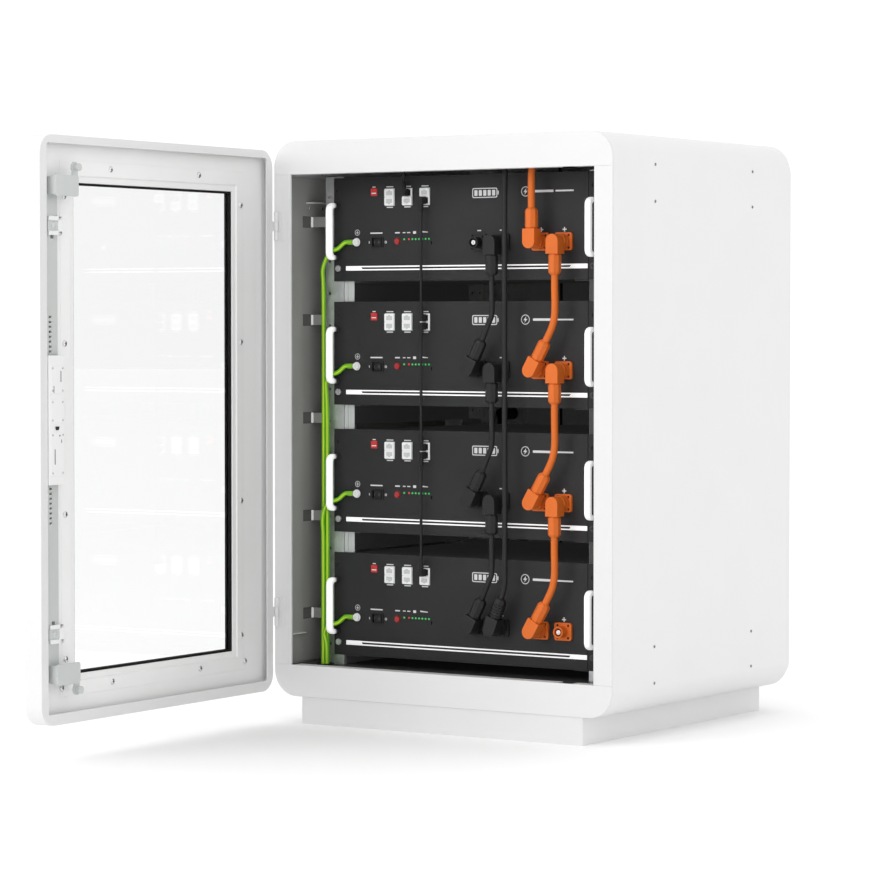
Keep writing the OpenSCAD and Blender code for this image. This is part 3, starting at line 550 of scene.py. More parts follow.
def piece(name, bm, slot, body="cabinet", place=Matrix(), paint=None, bevel=0.0, segments=2, smooth=35):
    """Turns a mesh drawn in millimetres into a piece on a body; its paint is the slot's unless given."""
    bmesh.ops.recalc_face_normals(bm, faces=bm.faces)
    mesh = bpy.data.meshes.new(name)
    bm.to_mesh(mesh)
    bm.free()
    mesh.transform(Matrix.Scale(MM, 4) @ place)
    mesh.polygons.foreach_set("use_smooth", [True] * len(mesh.polygons))
    mesh.materials.append((paint or finishes[slot]).material)
    obj = bpy.data.objects.new(name, mesh)
    bpy.context.scene.collection.objects.link(obj)
    if bevel:
        soften(obj, bevel, segments)
    else:
        mesh.set_sharp_from_angle(angle=math.radians(smooth))
    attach(obj, body)
    return obj


# ---------------- cables


def sleeve_end(tilt):
    """Where a plug's sleeve ends, from the middle of its socket; tilt is from upright, to the right."""
    turn = math.radians(tilt)
    return Vector((PLUG_LEN * math.sin(turn), 0, PLUG_LEN * math.cos(turn)))


def link_route(xs, i, tilt):
    """From the right socket of battery i down to the left socket of the next one."""
    top = Vector((xs[1], PLUG_Y, MODULE_Z[i] + SOCKET_Z - PLUG_LEN))
    foot = Vector((xs[0], PLUG_Y, MODULE_Z[i + 1] + SOCKET_Z)) + sleeve_end(tilt)
    way = sleeve_end(tilt).normalized()
    return [top, top - Vector((0, 0, 25)), (xs[1] + 0.5, PLUG_Y, foot.z + 52),
            (xs[1] - 0.5, PLUG_Y, foot.z + 38), foot + 24 * way + Vector((0.5, 0, 3)),
            foot + 10 * way, foot]


def over_route(x, y, z, r=FEED_R):
    """Up, over the top battery, and down behind the batteries into a base gland."""
    route = [(x, y, z)]
    turns = [math.radians(a) for a in range(0, 91, 15)]
    for t in turns:
        route.append((x, y + r * (1 - math.cos(t)), FEED_TOP_Z - r * (1 - math.sin(t))))
    for t in turns:
        route.append((x, FEED_REAR_Y - r * (1 - math.sin(t)), FEED_TOP_Z - r * (1 - math.cos(t))))
    return route + [(x, FEED_REAR_Y, FLOOR_Z - 9)]


def earth_route(i):
    """From the lug through the handle, then down beside the others to the earth bar."""
    x, y = EARTH_SPOT[i]
    z = MODULE_Z[i]
    lug_y, lug_z = PANEL_Y - 4.5, z + GROUND[1]
    return [(GROUND[0] - 13, lug_y, lug_z), (GROUND[0] - 20, lug_y, lug_z),
            (-228, PANEL_Y - 7, z + 51), (-241.5, y + 0.5, z + 46), (-250, y, z + 35),
            (x - 1, y, z + 18), (x, y, z - 4), (x, y, EARTH_BAR_Z)]


def add_cable(name, route, radius, slot, node, side_way=(0, 1, 0), sides=20):
    """Tube along a route, drawn in place of that CAD node, which it hides."""
    path = smooth_path(route)
    bm = bmesh.new()
    add_tube(bm, path, radius, sides, side_way)
    cable = piece(name, bm, slot)
    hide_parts(node)


def add_cables():
    """Three feeds that leave over the top battery, then the links between batteries and the earth wires."""
    top = MODULE_Z[0]
    feed = over_route(POSITIVE_X[0], PLUG_Y, top + SOCKET_Z + PLUG_LEN)
    add_cable("positive_feed", feed, POSITIVE_R, "orange_sheath", "positive_cables", (1, 0, 0))
    foot = Vector((NEGATIVE_X[1], PLUG_Y, MODULE_Z[3] + SOCKET_Z)) + sleeve_end(FEED_TILT)
    feed = [foot, foot + Vector((3.4, 0, 9.35)), (93.4, PLUG_Y, 228)]
    feed += over_route(NEGATIVE_FEED_X, PLUG_Y, 246)
    add_cable("negative_feed", feed, NEGATIVE_R, "black_sheath", "negative_cables", (0, 1, 0))
    up = STACK_Z + PORT_Z + BOOT_END
    down = STACK_Z - PORT_Z - BOOT_END
    feed = over_route(STACK_X[1], DATA_Y, top + up, DATA_FEED_R)
    add_cable("data_feed", feed, DATA_R, "black_sheath", "data_cables", (1, 0, 0), 12)
    for i in range(3):
        add_cable(f"positive_link_{i + 1}", link_route(POSITIVE_X, i, POSITIVE_TILT), POSITIVE_R,
                  "orange_sheath", "positive_cables")
        add_cable(f"negative_link_{i + 1}", link_route(NEGATIVE_X, i, NEGATIVE_TILT), NEGATIVE_R,
                  "black_sheath", "negative_cables")
        lead = [(STACK_X[2], DATA_Y, MODULE_Z[i] + down), (STACK_X[2], DATA_Y, MODULE_Z[i + 1] + up)]
        add_cable(f"data_link_{i + 1}", lead, DATA_R, "black_sheath", "data_cables", sides=12)
    for i in range(4):
        add_cable(f"earth_wire_{i + 1}", earth_route(i), EARTH_R, "earth_sheath", "earth_wires",
                  sides=16)


add_cables()

# ---------------- plugs, sockets and leads


def add_power_plug(name, x, z, angle, slot, node, ribs=0):
    """Elbow plug: a collar on the socket, a rounded block and an eight-sided sleeve."""
    sleeve_y, first_rib, rib_pitch = -28, 24, 4.2
    bm = bmesh.new()
    r = PLUG_HEAD_R
    head = [(r * math.cos(math.pi * i / 16), r * math.sin(math.pi * i / 16)) for i in range(17)]
    add_plate(bm, [head + [(-r, -19), (r, -19)]], -37.5, -17.5)
    collar = [(8.8, -5), (11, -5), (11.4, -5.6), (11.4, -9), (10.7, -9.5), (10.7, -10.6), (11.4, -11.1),
              (11.4, -18), (8.8, -18)]
    add_lathe(bm, collar)
    down = Matrix.Translation((0, sleeve_y, 0)) @ Matrix.Rotation(-math.pi / 2, 4, "X")
    down = down @ Matrix.Rotation(math.radians(22.5), 4, "Y")
    sleeve = [(8.6, 15), (8.6, 20.4), (9.9, 20.8), (9.9, 45.4), (9.2, 47.4), (6.6, 50.2)]
    add_lathe(bm, sleeve, down, 8)
    for k in range(ribs):
        y = first_rib + rib_pitch * k
        add_lathe(bm, [(9, y - 1), (10.5, y - 0.6), (10.5, y + 0.6), (9, y + 1)], down, 24)
    place = Matrix.Translation((x, PANEL_Y, z + SOCKET_Z)) @ Matrix.Rotation(math.radians(angle), 4, "Y")
    plug = piece(name, bm, slot, "cabinet", place, bevel=1.7, segments=3)
    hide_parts(node)


def add_power_plugs():
    """Each plug's angle is where its sleeve points: 0 is down and 180 is up."""
    orange = ("orange_plastic", "positive_plugs")
    black = ("black_plastic", "negative_plugs")
    add_power_plug("positive_feed_plug", POSITIVE_X[0], MODULE_Z[0], 180, *orange)
    add_power_plug("negative_feed_plug", NEGATIVE_X[1], MODULE_Z[3], 180 + FEED_TILT, *black, ribs=5)
    links = (("positive", POSITIVE_X, POSITIVE_TILT, orange),
             ("negative", NEGATIVE_X, NEGATIVE_TILT, black))
    for i in range(3):
        for sign, xs, tilt, look in links:
            add_power_plug(f"{sign}_plug_out_{i + 1}", xs[1], MODULE_Z[i], 0, *look)
            add_power_plug(f"{sign}_plug_in_{i + 2}", xs[0], MODULE_Z[i + 1], 180 + tilt, *look)


def add_socket_details():
    """Recessed flange screws in near-black painted shade, and the insulating tips of the two free contacts.
    """
    reach = 9.4
    bm = bmesh.new()
    for z in MODULE_Z:
        for x in NEGATIVE_X + POSITIVE_X:
            for sx in (-1, 1):
                for sz in (-1, 1):
                    at = Matrix.Translation((x + sx * reach, PANEL_Y - 1, z + SOCKET_Z + sz * reach))
                    add_lathe(bm, [(1.9, 0), (1.9, -1.4), (1.4, -1.8), (0, -1.9)], at, 12)
    # flange screws in painted shade
    piece("socket_screws", bm, "screw_steel", paint=RECESS_SHADE)
    bm = bmesh.new()
    for x, z in ((NEGATIVE_X[0], MODULE_Z[0]), (POSITIVE_X[1], MODULE_Z[3])):
        at = Matrix.Translation((x, PANEL_Y - 16.5, z + SOCKET_Z))
        add_lathe(bm, [(3.5, 0.5), (3.5, -0.2), (1.9, -0.6), (1.7, -1.6), (1.2, -2.2), (0, -2.5)], at, 20)
    piece("contact_tips", bm, "port_white")


def port_mouth(x, z, way):
    """Outline of a data port: a rectangle with a stepped latch notch, above for way 1, below for -1."""
    shape = ((-5.9, -3.4), (5.9, -3.4), (5.9, 2.6), (3, 2.6), (3, 3.6), (1.6, 3.6), (1.6, 4.3),
             (-1.6, 4.3), (-1.6, 3.6), (-3, 3.6), (-3, 2.6), (-5.9, 2.6))
    return [(x + px, z + way * pz) for px, pz in shape]


def add_data_ports():
    """White surround, grey floor and eight contacts of each data port that has no plug in it."""
    faces, floors, contacts = bmesh.new(), bmesh.new(), bmesh.new()
    front = PANEL_Y - 1.2
    for i, base in enumerate(MODULE_Z):
        for column, x in enumerate(STACK_X):
            for way in (1, -1):
                if (i, column, way) in PORTS_IN_USE:
                    continue
                z = base + STACK_Z + way * PORT_Z
                outline = round_rect(STACK_W - 0.6, PORT_H, 0.6, x, z, 2)
                mouth = port_mouth(x, z, way)
                add_plate(faces, [outline, mouth], front - 1.5, front - 0.02)
                add_plate(floors, [mouth], front - 0.25, front - 0.02)
                for k in range(8):
                    cx = x + (k - 3.5) * 1.15
                    z0, z1 = sorted((z - way * 3.2, z + way * 0.6))
                    add_box(contacts, (cx - 0.3, front - 0.5, z0), (cx + 0.3, front - 0.2, z1))
    piece("port_faces", faces, "port_white", smooth=20)
    piece("port_floors", floors, "port_white", paint=PORT_GREY, smooth=20)
    piece("port_contacts", contacts, "copper", paint=CONTACT_GREY, smooth=20)


def add_data_plugs():
    """Plug in its port, a hood in front of it, a latch and a ribbed boot turned along the panel."""
    for n, (i, column, way) in enumerate(PORTS_IN_USE):
        bm = bmesh.new()
        add_box(bm, (-5.8, -2.8, -4.2), (5.8, 9, 4.2))
        add_plate(bm, [round_rect(8.2, 11.2, 1.6, 0, 0, 3)], -14.2, -2)
        add_plate(bm, [round_rect(4, 7, 1, 0, 0, 2)], -15.2, -14)
        turn = Matrix.Translation((0, -11, 0)) @ Matrix.Rotation(math.pi / 2, 4, "X")
        boot = [(4, 4.5), (3.9, 6.4)]
        for k in range(3):
            y = 7 + 2.6 * k
            boot += [(3.6, y), (4.5 - 0.3 * k, y + 0.5), (4.4 - 0.3 * k, y + 1.9)]
        boot += [(3.1, 14.9), (2.7, 16.4)]
        add_lathe(bm, boot, turn, 20)
        flip = Matrix() if way > 0 else Matrix.Rotation(math.pi, 4, "Y")
        place = Matrix.Translation((STACK_X[column], PANEL_Y, MODULE_Z[i] + STACK_Z + way * PORT_Z)) @ flip
        plug = piece(f"data_plug_{n + 1}", bm, "black_plastic", "cabinet", place, bevel=0.35)
        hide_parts("data_plugs")


def add_earth_terminals():
    """Ring lug, crimped barrel and cross-head screw of each battery, and a sleeve over the crimp."""
    for i, z in enumerate(MODULE_Z):
        bm = bmesh.new()
        add_plate(bm, [circle(6.5), circle(3.1, count=16)], -3, -1.5)
        add_plate(bm, [[(-12, -3), (-5.4, -3.4), (-5.4, 3.4), (-12, 3)]], -3, -1.5)
        side = Matrix.Translation((0, -4.5, 0)) @ Matrix.Rotation(math.pi / 2, 4, "Z")
        add_lathe(bm, [(3.2, 6.2), (3.6, 6.8), (3.6, 9), (3.1, 9.6), (3.1, 11), (3.6, 11.6), (3.6, 13.4)],
                  side, 20)
        add_lathe(bm, [(3, 8), (3, -3), (5.2, -3), (5.2, -4.2), (5.1, -4.4)], count=24)
        add_plate(bm, [circle(5.2, count=24), cross(5.6, 1.4)], -6.2, -4.3)
        place = Matrix.Translation((GROUND[0], PANEL_Y, z + GROUND[1]))
        terminal = piece(f"earth_terminal_{i + 1}", bm, "screw_steel", "cabinet", place,
                         paint=finishes["guide_white"], bevel=0.25)
        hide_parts("ground_terminals")
        bm = bmesh.new()
        add_lathe(bm, [(3.3, 5.4), (3.9, 5.8), (3.9, 14.6), (3.5, 15)], side, 20)
        piece(f"earth_sleeve_{i + 1}", bm, "earth_sheath", "cabinet", place, paint=EARTH_SLEEVE)


add_power_plugs()
add_socket_details()
add_data_ports()
add_data_plugs()
add_earth_terminals()

# ---------------- panel details

CAPTION_Z = 74.2
BATTERY_SIGN = (40, 132.4)
FLASH_SIGN = (113, 133)


def bar(x, z, w, h):
    """Outline of a printed bar, as the one loop of a plate."""
    return [round_rect(w, h, min(w, h) * 0.3, x, z, 2)]


def add_panel_marks(index, base):
    """Printed signs, with plain bars where the photo has words."""
    # captions round the address switch and the data ports
    shapes = [bar(DIP[0], 145.6, 6, 1.5)]
    for x in STACK_X:
        shapes += [bar(x, 145.4, 13, 1.5), bar(x, 113.8, 12, 1.6)]

    # captions over the rocker, the button and the status lights
    z = CAPTION_Z
    shapes += [bar(ROCKER[0] - 2, z, 23, 2), bar(BUTTON[0], z, 9, 2), bar(-108, z, 5, 1.5),
               bar(-99.5, z, 6, 1.5), [round_rect(5.4, 4, 0.6, -88.6, z, 2)],
               [[(-78, z), (-64, z - 0.4), (-64, z + 0.8), (-78, z + 2.2)]]]

    # a stroke and a ring beside the rocker
    left, right, z = ROCKER[0] - 15.5, ROCKER[0] + 15.6, ROCKER[1]
    shapes += [bar(left, z, 1.2, 3.6), [circle(2, right, z, 20), circle(1.2, right, z, 20)]]

    # earth sign in a ring
    x, z = GROUND[0], 75.5
    shapes += [[circle(4.6, x, z), circle(3.9, x, z)], bar(x, z + 1.5, 0.8, 2.8), bar(x, z, 4.8, 0.8),
               bar(x, z - 1.3, 3.2, 0.7), bar(x, z - 2.5, 1.6, 0.6)]

    # - and + over the sockets
    shapes += [bar(x, 75.4, 7, 1.7) for x in NEGATIVE_X]
    shapes += [[cross(7, 1.8, x, 75)] for x in POSITIVE_X]

    # battery with five cells
    x, z = BATTERY_SIGN
    shapes += [[round_rect(45, 15, 2.4, x, z, 3), round_rect(42.2, 12.2, 1.4, x, z, 3)],
               bar(x + 24, z, 2, 6)]
    shapes += [[round_rect(5.6, 8.6, 0.8, x + 8 * (k - 2), z, 2)] for k in range(5)]

    # flash in a ring, and two bars in place of a name
    x, z = FLASH_SIGN
    flash = ((1.6, 5), (-3.6, -1), (-0.4, -1), (-1.8, -5), (3.6, 1), (0.4, 1))
    shapes += [[circle(7.6, x, z), circle(6.5, x, z)], [[(x + px, z + pz) for px, pz in flash]],
               bar(144.5, z, 36, 3.6), bar(182, z, 32, 2.4)]

    bm = bmesh.new()
    for loops in shapes:
        add_plate(bm, loops, PANEL_Y - 0.12, PANEL_Y - 0.01)
    piece(f"panel_marks_{index + 1}", bm, "panel_paint", "cabinet", Matrix.Translation((0, 0, base)),
          paint=MARK_WHITE, smooth=10)


def add_rack_screws():
    """Pan-head screws low in the ears; the right ones are black as painted shade."""
    # the right screws take black steel as painted shade
    for side, sx, paint in (("left", -1, finishes["screw_steel"]), ("right", 1, finishes["black_steel"])):
        bm = bmesh.new()
        for base in MODULE_Z:
            x, z = sx * EAR_HOLE_X, base + EAR_SCREW_Z
            add_lathe(bm, [(2.9, 11), (2.9, 0), (5, 0), (5, -1.2), (4.8, -1.3)],
                      Matrix.Translation((x, EAR_Y, z)), 24)
            add_plate(bm, [circle(5, x, z, 24), cross(5.4, 1.3, x, z)], EAR_Y - 3, EAR_Y - 1.25)
        screws = piece(f"rack_screws_{side}", bm, "screw_steel", paint=paint, bevel=0.25)
        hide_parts("rack_screws")


def add_switch_details(index, base):
    """White slider caps of the address switch, and the strokes on the rocker."""
    bm = bmesh.new()
    for k in range(4):
        x = DIP[0] + 2.2 * (k - 1.5)
        add_box(bm, (x - 0.8, PANEL_Y - 1.1, DIP[1] - 2.5), (x + 0.8, PANEL_Y - 0.5, DIP[1] - 0.7))
    piece(f"address_slider_caps_{index + 1}", bm, "port_white", "cabinet",
          Matrix.Translation((0, 0, base)), bevel=0.12)
    bm = bmesh.new()
    front, back = -6.42, -5.9
    add_plate(bm, bar(-4.6, 0, 0.6, 3.6), front, back)
    add_plate(bm, [circle(1.9, 4.6, 0, 20), circle(1.3, 4.6, 0, 20)], front, back)
    swing = Matrix.Rotation(math.radians(ROCKER_REST), 4, "Z")
    place = Matrix.Translation((ROCKER[0], PANEL_Y + 5, base + ROCKER[1])) @ swing
    piece(f"rocker_marks_{index + 1}", bm, "black_plastic", f"rocker_{index + 1}", place, paint=DIM_MARK,
          smooth=10)


def add_button_rings():
    """Dark red ring on the panel round each push button."""
    bm = bmesh.new()
    for base in MODULE_Z:
        x, z = BUTTON[0], base + BUTTON[1]
        add_plate(bm, [circle(5.8, x, z), circle(4.7, x, z)], PANEL_Y - 0.8, PANEL_Y)
    piece("button_rings", bm, "red_plastic", paint=RING_RED, bevel=0.2)


def add_ear_details():
    """Small raised collar round each ear's upper hole, and a disc in the hole, both in near-black painted
    shade.
    """
    bm = bmesh.new()
    for base in MODULE_Z:
        for sx in (-1, 1):
            x, z = sx * EAR_HOLE_X, base + EAR_HOLE_Z
            add_plate(bm, [circle(4.6, x, z, 24), circle(3.4, x, z, 24)], EAR_Y - 0.3, EAR_Y)
            add_plate(bm, [circle(3.3, x, z, 24)], EAR_Y + 1.2, EAR_Y + 1.9)
    piece("ear_hole_collars", bm, "black_steel", paint=RECESS_SHADE, bevel=0.1)


for index, base in enumerate(MODULE_Z):
    add_panel_marks(index, base)
    add_switch_details(index, base)
add_rack_screws()
add_button_rings()
add_ear_details()

# ---------------- cabinet details


def add_liner_details():
    """Folded brackets at the top of the side liners, their rivets, and a ledge near the floor."""
    shelf_z, shelf_y, fold_y, fold_top = 812, -200, -145, 850
    ledge_z, ledge_front, ledge_back = 134, -250, -207
    rivet_z = 805
    brackets, rivets = bmesh.new(), bmesh.new()
    for s in (-1, 1):
        wall = s * LINER_X
        x0, x1 = sorted((wall, s * (LINER_X - 13)))
        add_box(brackets, (x0, fold_y - 2, shelf_z + 1), (x1, fold_y, fold_top))
        add_box(brackets, (x0, shelf_y, shelf_z), (x1, fold_y, shelf_z + 2))
        x0, x1 = sorted((wall, s * (LINER_X - 5)))
        add_box(brackets, (x0, ledge_front, ledge_z), (x1, ledge_back, ledge_z + 1.6))
        for y in (-158, -190):
            at = Matrix.Translation((wall, y, rivet_z)) @ Matrix.Rotation(s * math.pi / 2, 4, "Z")
            add_lathe(rivets, [(2.8, -0.1), (2.8, 0.5), (2, 1.4), (0, 1.7)], at, 16)
    piece("liner_brackets", brackets, "liner_paint", paint=finishes["guide_white"], bevel=0.3)
    piece("liner_rivets", rivets, "screw_steel")


def add_tab_details():
    """Dark plate of painted shade behind each punched tab slot, and a painted highlight on the bend where
    the tab leaves the wall.
    """
    shade_plates, bends = bmesh.new(), bmesh.new()
    for s in (-1, 1):
        for z in TAB_Z:
            x0, x1 = sorted((s * (LINER_X + 2.4), s * (LINER_X + 3.4)))
            add_box(shade_plates, (x0, TAB_Y - 26, z - 11), (x1, TAB_Y + 1, z + 11))
            x0, x1 = sorted((s * LINER_X, s * (LINER_X - 3.5)))
            add_box(bends, (x0, TAB_Y - 2.2, z - 8), (x1, TAB_Y - 1, z + 8))
    # dark plates of painted shade behind the slots, and painted highlights on the bends
    piece("tab_slot_shade_plates", shade_plates, "liner_paint", paint=SLOT_SHADE_GREY, bevel=0.2)
    piece("tab_bend_highlights", bends, "liner_paint", paint=PAINTED_HIGHLIGHT, bevel=0.3)


def add_post_shade_strips_and_brackets():
    """Strips on the front posts, black on the right as painted shade and bright on the left, and the rails'
    brackets.
    """
    covers, brackets = bmesh.new(), bmesh.new()
    face = POST_FRONT_Y
    bright_x = ((-223.6, -217), (-216.4, -205))
    ear_x = 241.8
    for low, high in zip(MODULE_Z[1:], MODULE_Z):
        z0, z1 = low + PANEL_H + 0.2, high - 0.2
        for x0, x1 in bright_x:
            add_box(brackets, (x0, face + 1, z0), (x1, face + 2.2, z1))
        # black strips of painted shade over the right post
        add_box(covers, (POST_X + 0.5, face - 0.8, z0), (ear_x - 0.4, face, z1))
    add_box(covers, (ear_x, face - 0.8, FLOOR_Z + 4), (257.5, face, 850))
    bracket_y, half_w = 150, 14
    for s in (-1, 1):
        for z in MODULE_Z:
            z0, z1 = max(z - 31, FLOOR_Z + 1) + 1, z - 2.3
            x0, x1 = sorted((s * (RAIL_X + half_w), s * (RAIL_X - half_w)))
            outline = [(x0, z0), (x1, z0), (x1, z1), (x0, z1)]
            holes = [circle(1.8, s * RAIL_X + dx, (z0 + z1) / 2, 16) for dx in (-7, 7)]
            add_plate(brackets, [outline] + holes, bracket_y, bracket_y + 2)
    piece("post_shade_strips", covers, "black_steel", bevel=0.2)
    piece("rail_brackets", brackets, "zinc_steel", paint=finishes["lock_zinc"], bevel=0.2)


def add_louvres():
    """Pressed hoods over the rear door's slots, open at their lower edge."""
    bm = bmesh.new()
    along, across = 16, 6
    half_w, depth, pitch, bulge = 94, 11, 16, 3.8
    low_row, high_row, side = 170, 640, 110
    for z0 in (low_row, high_row):
        for k in range(8):
            for x0 in (-side, side):
                grid = []
                for i in range(along + 1):
                    u = -1 + 2 * i / along
                    rise = bulge * (1 - abs(u) ** 8)
                    row = []
                    for j in range(across + 1):
                        v = j / across
                        y = SKIN_Y - 0.5 - rise * math.sin(v * math.pi / 2)
                        row.append(bm.verts.new((x0 + half_w * u, y, z0 + pitch * k + 6 - depth * v)))
                    grid.append(row)
                for a, b in zip(grid, grid[1:]):
                    for j in range(across):
                        bm.faces.new((a[j], b[j], b[j + 1], a[j + 1]))
    hoods = piece("rear_louvre_hoods", bm, "white_paint", "rear_door", ON_REAR)
    thick = hoods.modifiers.new("sheet", "SOLIDIFY")
    thick.thickness = 0.9 * MM
    thick.offset = 0


def add_filter_and_shade_mat():
    """Dust mat behind the rear door's slots, a dark sheet that keeps the view through them in shade. Its
    faint white emission is a painted glow.
    """
    half_w, bottom, top = 206, 158, 764
    bm = bmesh.new()
    add_box(bm, (-half_w, SKIN_Y + 2.2, bottom), (half_w, SKIN_Y + 6, top))
    piece("filter_and_shade_mat", bm, "black_rubber", "rear_door", ON_REAR, paint=GLOWING_MAT_GREY, bevel=0.8)


add_liner_details()
add_tab_details()
add_post_shade_strips_and_brackets()
add_louvres()
add_filter_and_shade_mat()

# ---------------- front door details


def add_door_press():
    """Pressed ridge round the window on the door's inner frame."""
    bm = bmesh.new()
    profile = [(0.4, FRAME_Y - 0.5), (0.4, FRAME_Y + 0.5), (8.5, FRAME_Y + 0.6), (10.5, FRAME_Y + 2.4),
               (27, FRAME_Y + 0.7), (31, FRAME_Y + 0.5), (31, FRAME_Y - 0.5)]
    add_frame(bm, WINDOW[0] / 2, WINDOW[1] / 2, WINDOW[2], profile)
    piece("door_frame_press", bm, "inner_paint", "front_door", ON_DOOR, bevel=0.6)


def add_door_screws():
    """Domed screws of the inner frame, each with a dark cross of painted shade for its recess."""
    side_x, end_x, corner_x = 220, 110, 229
    spots = [(sx * side_x, z) for sx in (-1, 1) for z in (142, 350, 594.5, 805)]
    spots += [(sx * end_x, z) for sx in (-1, 1) for z in (100, 847)]
    spots += [(sx * corner_x, 101) for sx in (-1, 1)]
    heads, slots = bmesh.new(), bmesh.new()
    for x, z in spots:
        at = Matrix.Translation((x, FRAME_Y, z))
        add_lathe(heads, [(4.6, 0.2), (4.6, 1.4), (4.2, 2.4), (3.2, 3.1), (1.8, 3.5), (0, 3.6)], at, 24)
        add_plate(slots, [cross(4, 0.9, x, z)], FRAME_Y + 2.6, FRAME_Y + 3.62)
    screws = piece("door_screw_heads", heads, "screw_steel", "front_door", ON_DOOR)
    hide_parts("door_screws")
    # dark crosses of painted shade for the recesses
    piece("door_screw_recess_shade", slots, "screw_steel", "front_door", ON_DOOR, paint=RECESS_SHADE,
          smooth=20)


def add_rod_clips():
    """White slide clips over the lock rods, each round a grey plate with a screw in its middle."""
    clips, plates, screws = bmesh.new(), bmesh.new(), bmesh.new()
    back, front = ROD_Y + 3.4, RIM_Y - 1
    x = LOCK[0] - 2
    for z in GUIDE_Z:
        add_plate(plates, [round_rect(25, 20, 1.5, x + 2.5, z, 3)], back, front - 2)
        for s in (-1, 1):
            add_plate(clips, [round_rect(30, 6, 1.2, x, z + s * 10.5, 3)], back, front)
        add_plate(clips, [round_rect(8, 27, 1.2, x - 11, z, 3)], back, front)
        add_lathe(clips, [(3, FRAME_Y), (3, back + 0.5)], Matrix.Translation((LOCK[0], 0, z)), 20)
        at = Matrix.Translation((LOCK[0], front - 2, z))
        add_lathe(screws, [(5, -0.2), (5, 0.7), (4, 1.3), (0, 1.5)], at, 24)
    clip = piece("rod_clips", clips, "guide_white", "front_door", ON_DOOR, bevel=0.5)
    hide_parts("rod_guides")
    piece("rod_clip_plates", plates, "lock_zinc", "front_door", ON_DOOR, bevel=0.4)
    piece("rod_clip_screws", screws, "screw_steel", "front_door", ON_DOOR, paint=finishes["lock_zinc"])


def add_frame_gap_shadow():
    """Painted shadow line on the inner frame, beside the lock rods."""
    x0, x1 = 239, 242.6
    bm = bmesh.new()
    for z0, z1 in ((160, 386), (586, 800)):
        add_box(bm, (x0, FRAME_Y - 0.2, z0), (x1, FRAME_Y + 0.6, z1))
    piece("frame_gap_shadow_line", bm, "inner_paint", "front_door", ON_DOOR, paint=RECESS_SHADE, bevel=0.1)


def add_lock_details():
    """Cover plates, each with four rivets, and cut-outs on the lock case drawn as thin plates of painted
    shade.
    """
    face = RIM_Y + 2
    x, z = LOCK
    covers = ((58, 40), (13, 34), (-48, 62))
    slits = ((-8, 62, 1.6, 16), (8, 44, 1.2, 10), (6, -52, 1.6, 22), (-5, -22, 2.4, 2.4), (-9, -30, 1.2, 5))
    plates, rivets, cuts = bmesh.new(), bmesh.new(), bmesh.new()
    for dz, h in covers:
        add_plate(plates, [round_rect(30, h, 1.5, x, z + dz, 3)], face - 0.2, face + 0.8)
        for sx in (-1, 1):
            for sz in (-1, 1):
                at = Matrix.Translation((x + sx * 11.5, face + 0.8, z + dz + sz * (h / 2 - 4)))
                add_lathe(rivets, [(1.7, -0.2), (1.7, 0.3), (1.1, 0.8), (0, 0.9)], at, 16)
    add_plate(cuts, [[(x - 4.5, z - 9), (x + 5, z - 9), (x + 3.5, z - 14), (x - 2.5, z - 14)]],
              face + 0.6, face + 0.9)
    for dx, dz, w, h in slits:
        add_plate(cuts, [round_rect(w, h, min(w, h) * 0.4, x + dx, z + dz, 2)], face + 0.6, face + 0.88)
    piece("lock_case_plates", plates, "lock_zinc", "front_door", ON_DOOR, paint=finishes["inner_paint"],
          bevel=0.3)
    piece("lock_case_rivets", rivets, "screw_steel", "front_door", ON_DOOR)
    # cut-outs as thin plates of painted shade
    piece("lock_case_cut_shade", cuts, "lock_zinc", "front_door", ON_DOOR, paint=RECESS_SHADE, smooth=20)


def add_front_handle():
    """Slim lever with a round end, on its boss over the escutcheon."""
    bm = bmesh.new()
    x, z = LOCK
    half_w, straight, tip_r, reach = 8, 60, 6, 99
    boss = [(5, -2.4), (11.4, -2.4), (11.4, -4), (10, -5), (9.6, -13), (8.6, -15.4), (0, -15.6)]
    add_lathe(bm, [(r, SKIN_Y + y) for r, y in boss], Matrix.Translation((x, 0, z)))
    turns = [math.pi * i / 12 for i in range(13)]
    tip = [(x + tip_r * math.cos(t), z + reach + tip_r * math.sin(t)) for t in turns]
    lever = [(x - half_w, z - 2), (x + half_w, z - 2), (x + half_w, z + straight)]
    lever += tip + [(x - half_w, z + straight)]
    add_plate(bm, [lever], SKIN_Y - 15.4, SKIN_Y - 8)
    handle = piece("front_lever_handle", bm, "black_plastic", "door_handle", ON_DOOR, paint=HANDLE_BLACK,
                   bevel=2.0, segments=3)
    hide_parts("front_handle")


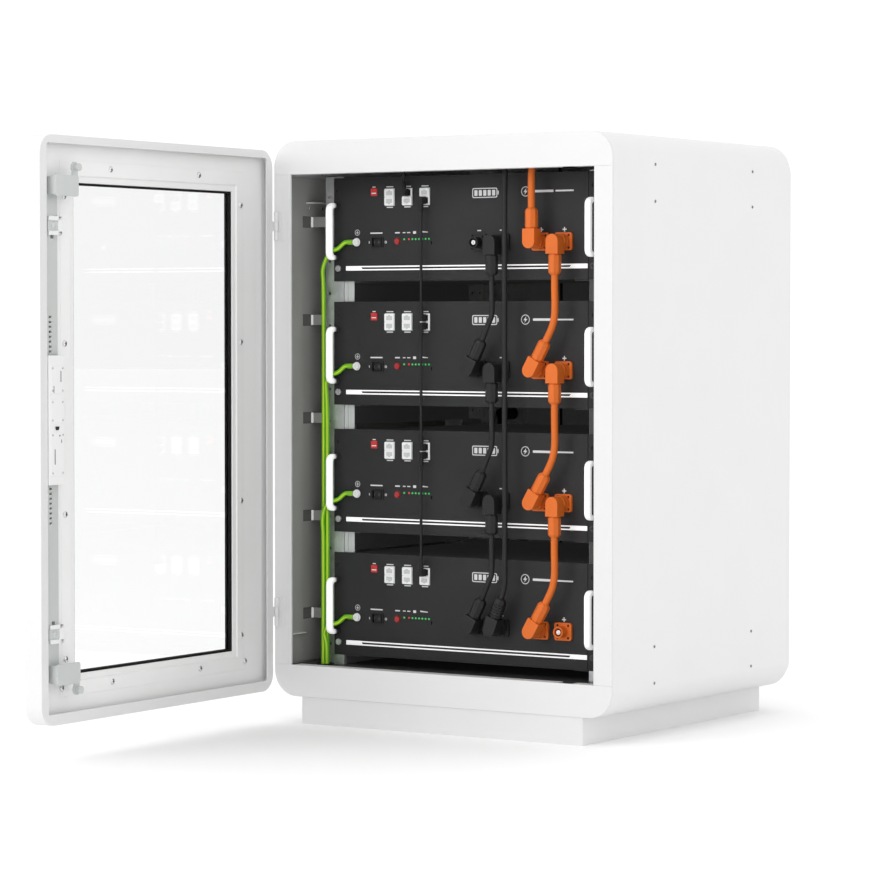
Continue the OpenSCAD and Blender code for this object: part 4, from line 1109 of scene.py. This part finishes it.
def add_key_barrel():
    """Key barrel under the outer handle's boss, with a bar across its face."""
    bm = bmesh.new()
    x, z = LOCK[0], LOCK[1] - 38
    profile = [(9, 0.2), (9, -1.6), (8, -2.4), (6.4, -2.4), (6.4, -1.4), (0, -1.4)]
    add_lathe(bm, profile, Matrix.Translation((x, SKIN_Y - 2, z)), 28)
    add_box(bm, (x - 0.9, SKIN_Y - 4, z - 4), (x + 0.9, SKIN_Y - 3.3, z + 4))
    piece("key_barrel", bm, "screw_steel", "front_door", ON_DOOR, smooth=30)


add_door_press()
add_door_screws()
add_rod_clips()
add_frame_gap_shadow()
add_lock_details()
add_front_handle()
add_key_barrel()

# ---------------- carried-over CAD nodes

# Rounding of each node's edges, in millimetres
EDGE_WIDTH = {"battery_handles": 3.0, "door_pan": 2.0, "rear_door_panel": 2.0, "front_panels": 0.4,
              "side_liners": 0.4, "rack_posts": 0.6, "control_boards": 0.3,
              "dip_switches": 0.25, "trim_strips": 0.15, "status_leds": 0.3, "lock_pinion": 0.2,
              "cell_packs": 1.5, "lock_escutcheon": 0.8, "rear_lock": 0.9}
DEFAULT_EDGE = 0.6

# Nodes whose paint isn't their slot's usual one
# trim_strips take the painted highlight, a near-white glowing paint
NODE_PAINT = {"side_screws": DARK_STEEL, "base_plate": FLOOR_GREY, "trim_strips": PAINTED_HIGHLIGHT,
              "lock_case": finishes["inner_paint"], "sw_button_1": BUTTON_RED, "sw_button_2": BUTTON_RED,
              "sw_button_3": BUTTON_RED, "sw_button_4": BUTTON_RED}

# Nodes whose flat faces stay in triangles, as joined ones would cut the rocker's marks when it tips
KEPT_TRIANGLES = ("rocker_housings",)
WELD_REACH = 0.00002
FLAT_WITHIN = 0.5


def finish_node(name):
    """Gives a CAD node its material, smooth shading and softened edges; its vertices stay put."""
    node = nodes[name]
    mesh = node.data
    for i, material in enumerate(mesh.materials):
        mesh.materials[i] = finishes[material.name.split(".")[0]].material
    if name in NODE_PAINT:
        mesh.materials[0] = NODE_PAINT[name].material
    for attribute in ("custom_normal", "sharp_edge"):
        if attribute in mesh.attributes:
            mesh.attributes.remove(mesh.attributes[attribute])
    mesh.polygons.foreach_set("use_smooth", [True] * len(mesh.polygons))
    node.modifiers.new("weld", "WELD").merge_threshold = WELD_REACH
    if name not in KEPT_TRIANGLES:
        flat = node.modifiers.new("flat faces", "DECIMATE")
        flat.decimate_type = "DISSOLVE"
        flat.angle_limit = math.radians(FLAT_WITHIN)
    soften(node, EDGE_WIDTH.get(name, DEFAULT_EDGE))


for name in nodes:
    finish_node(name)
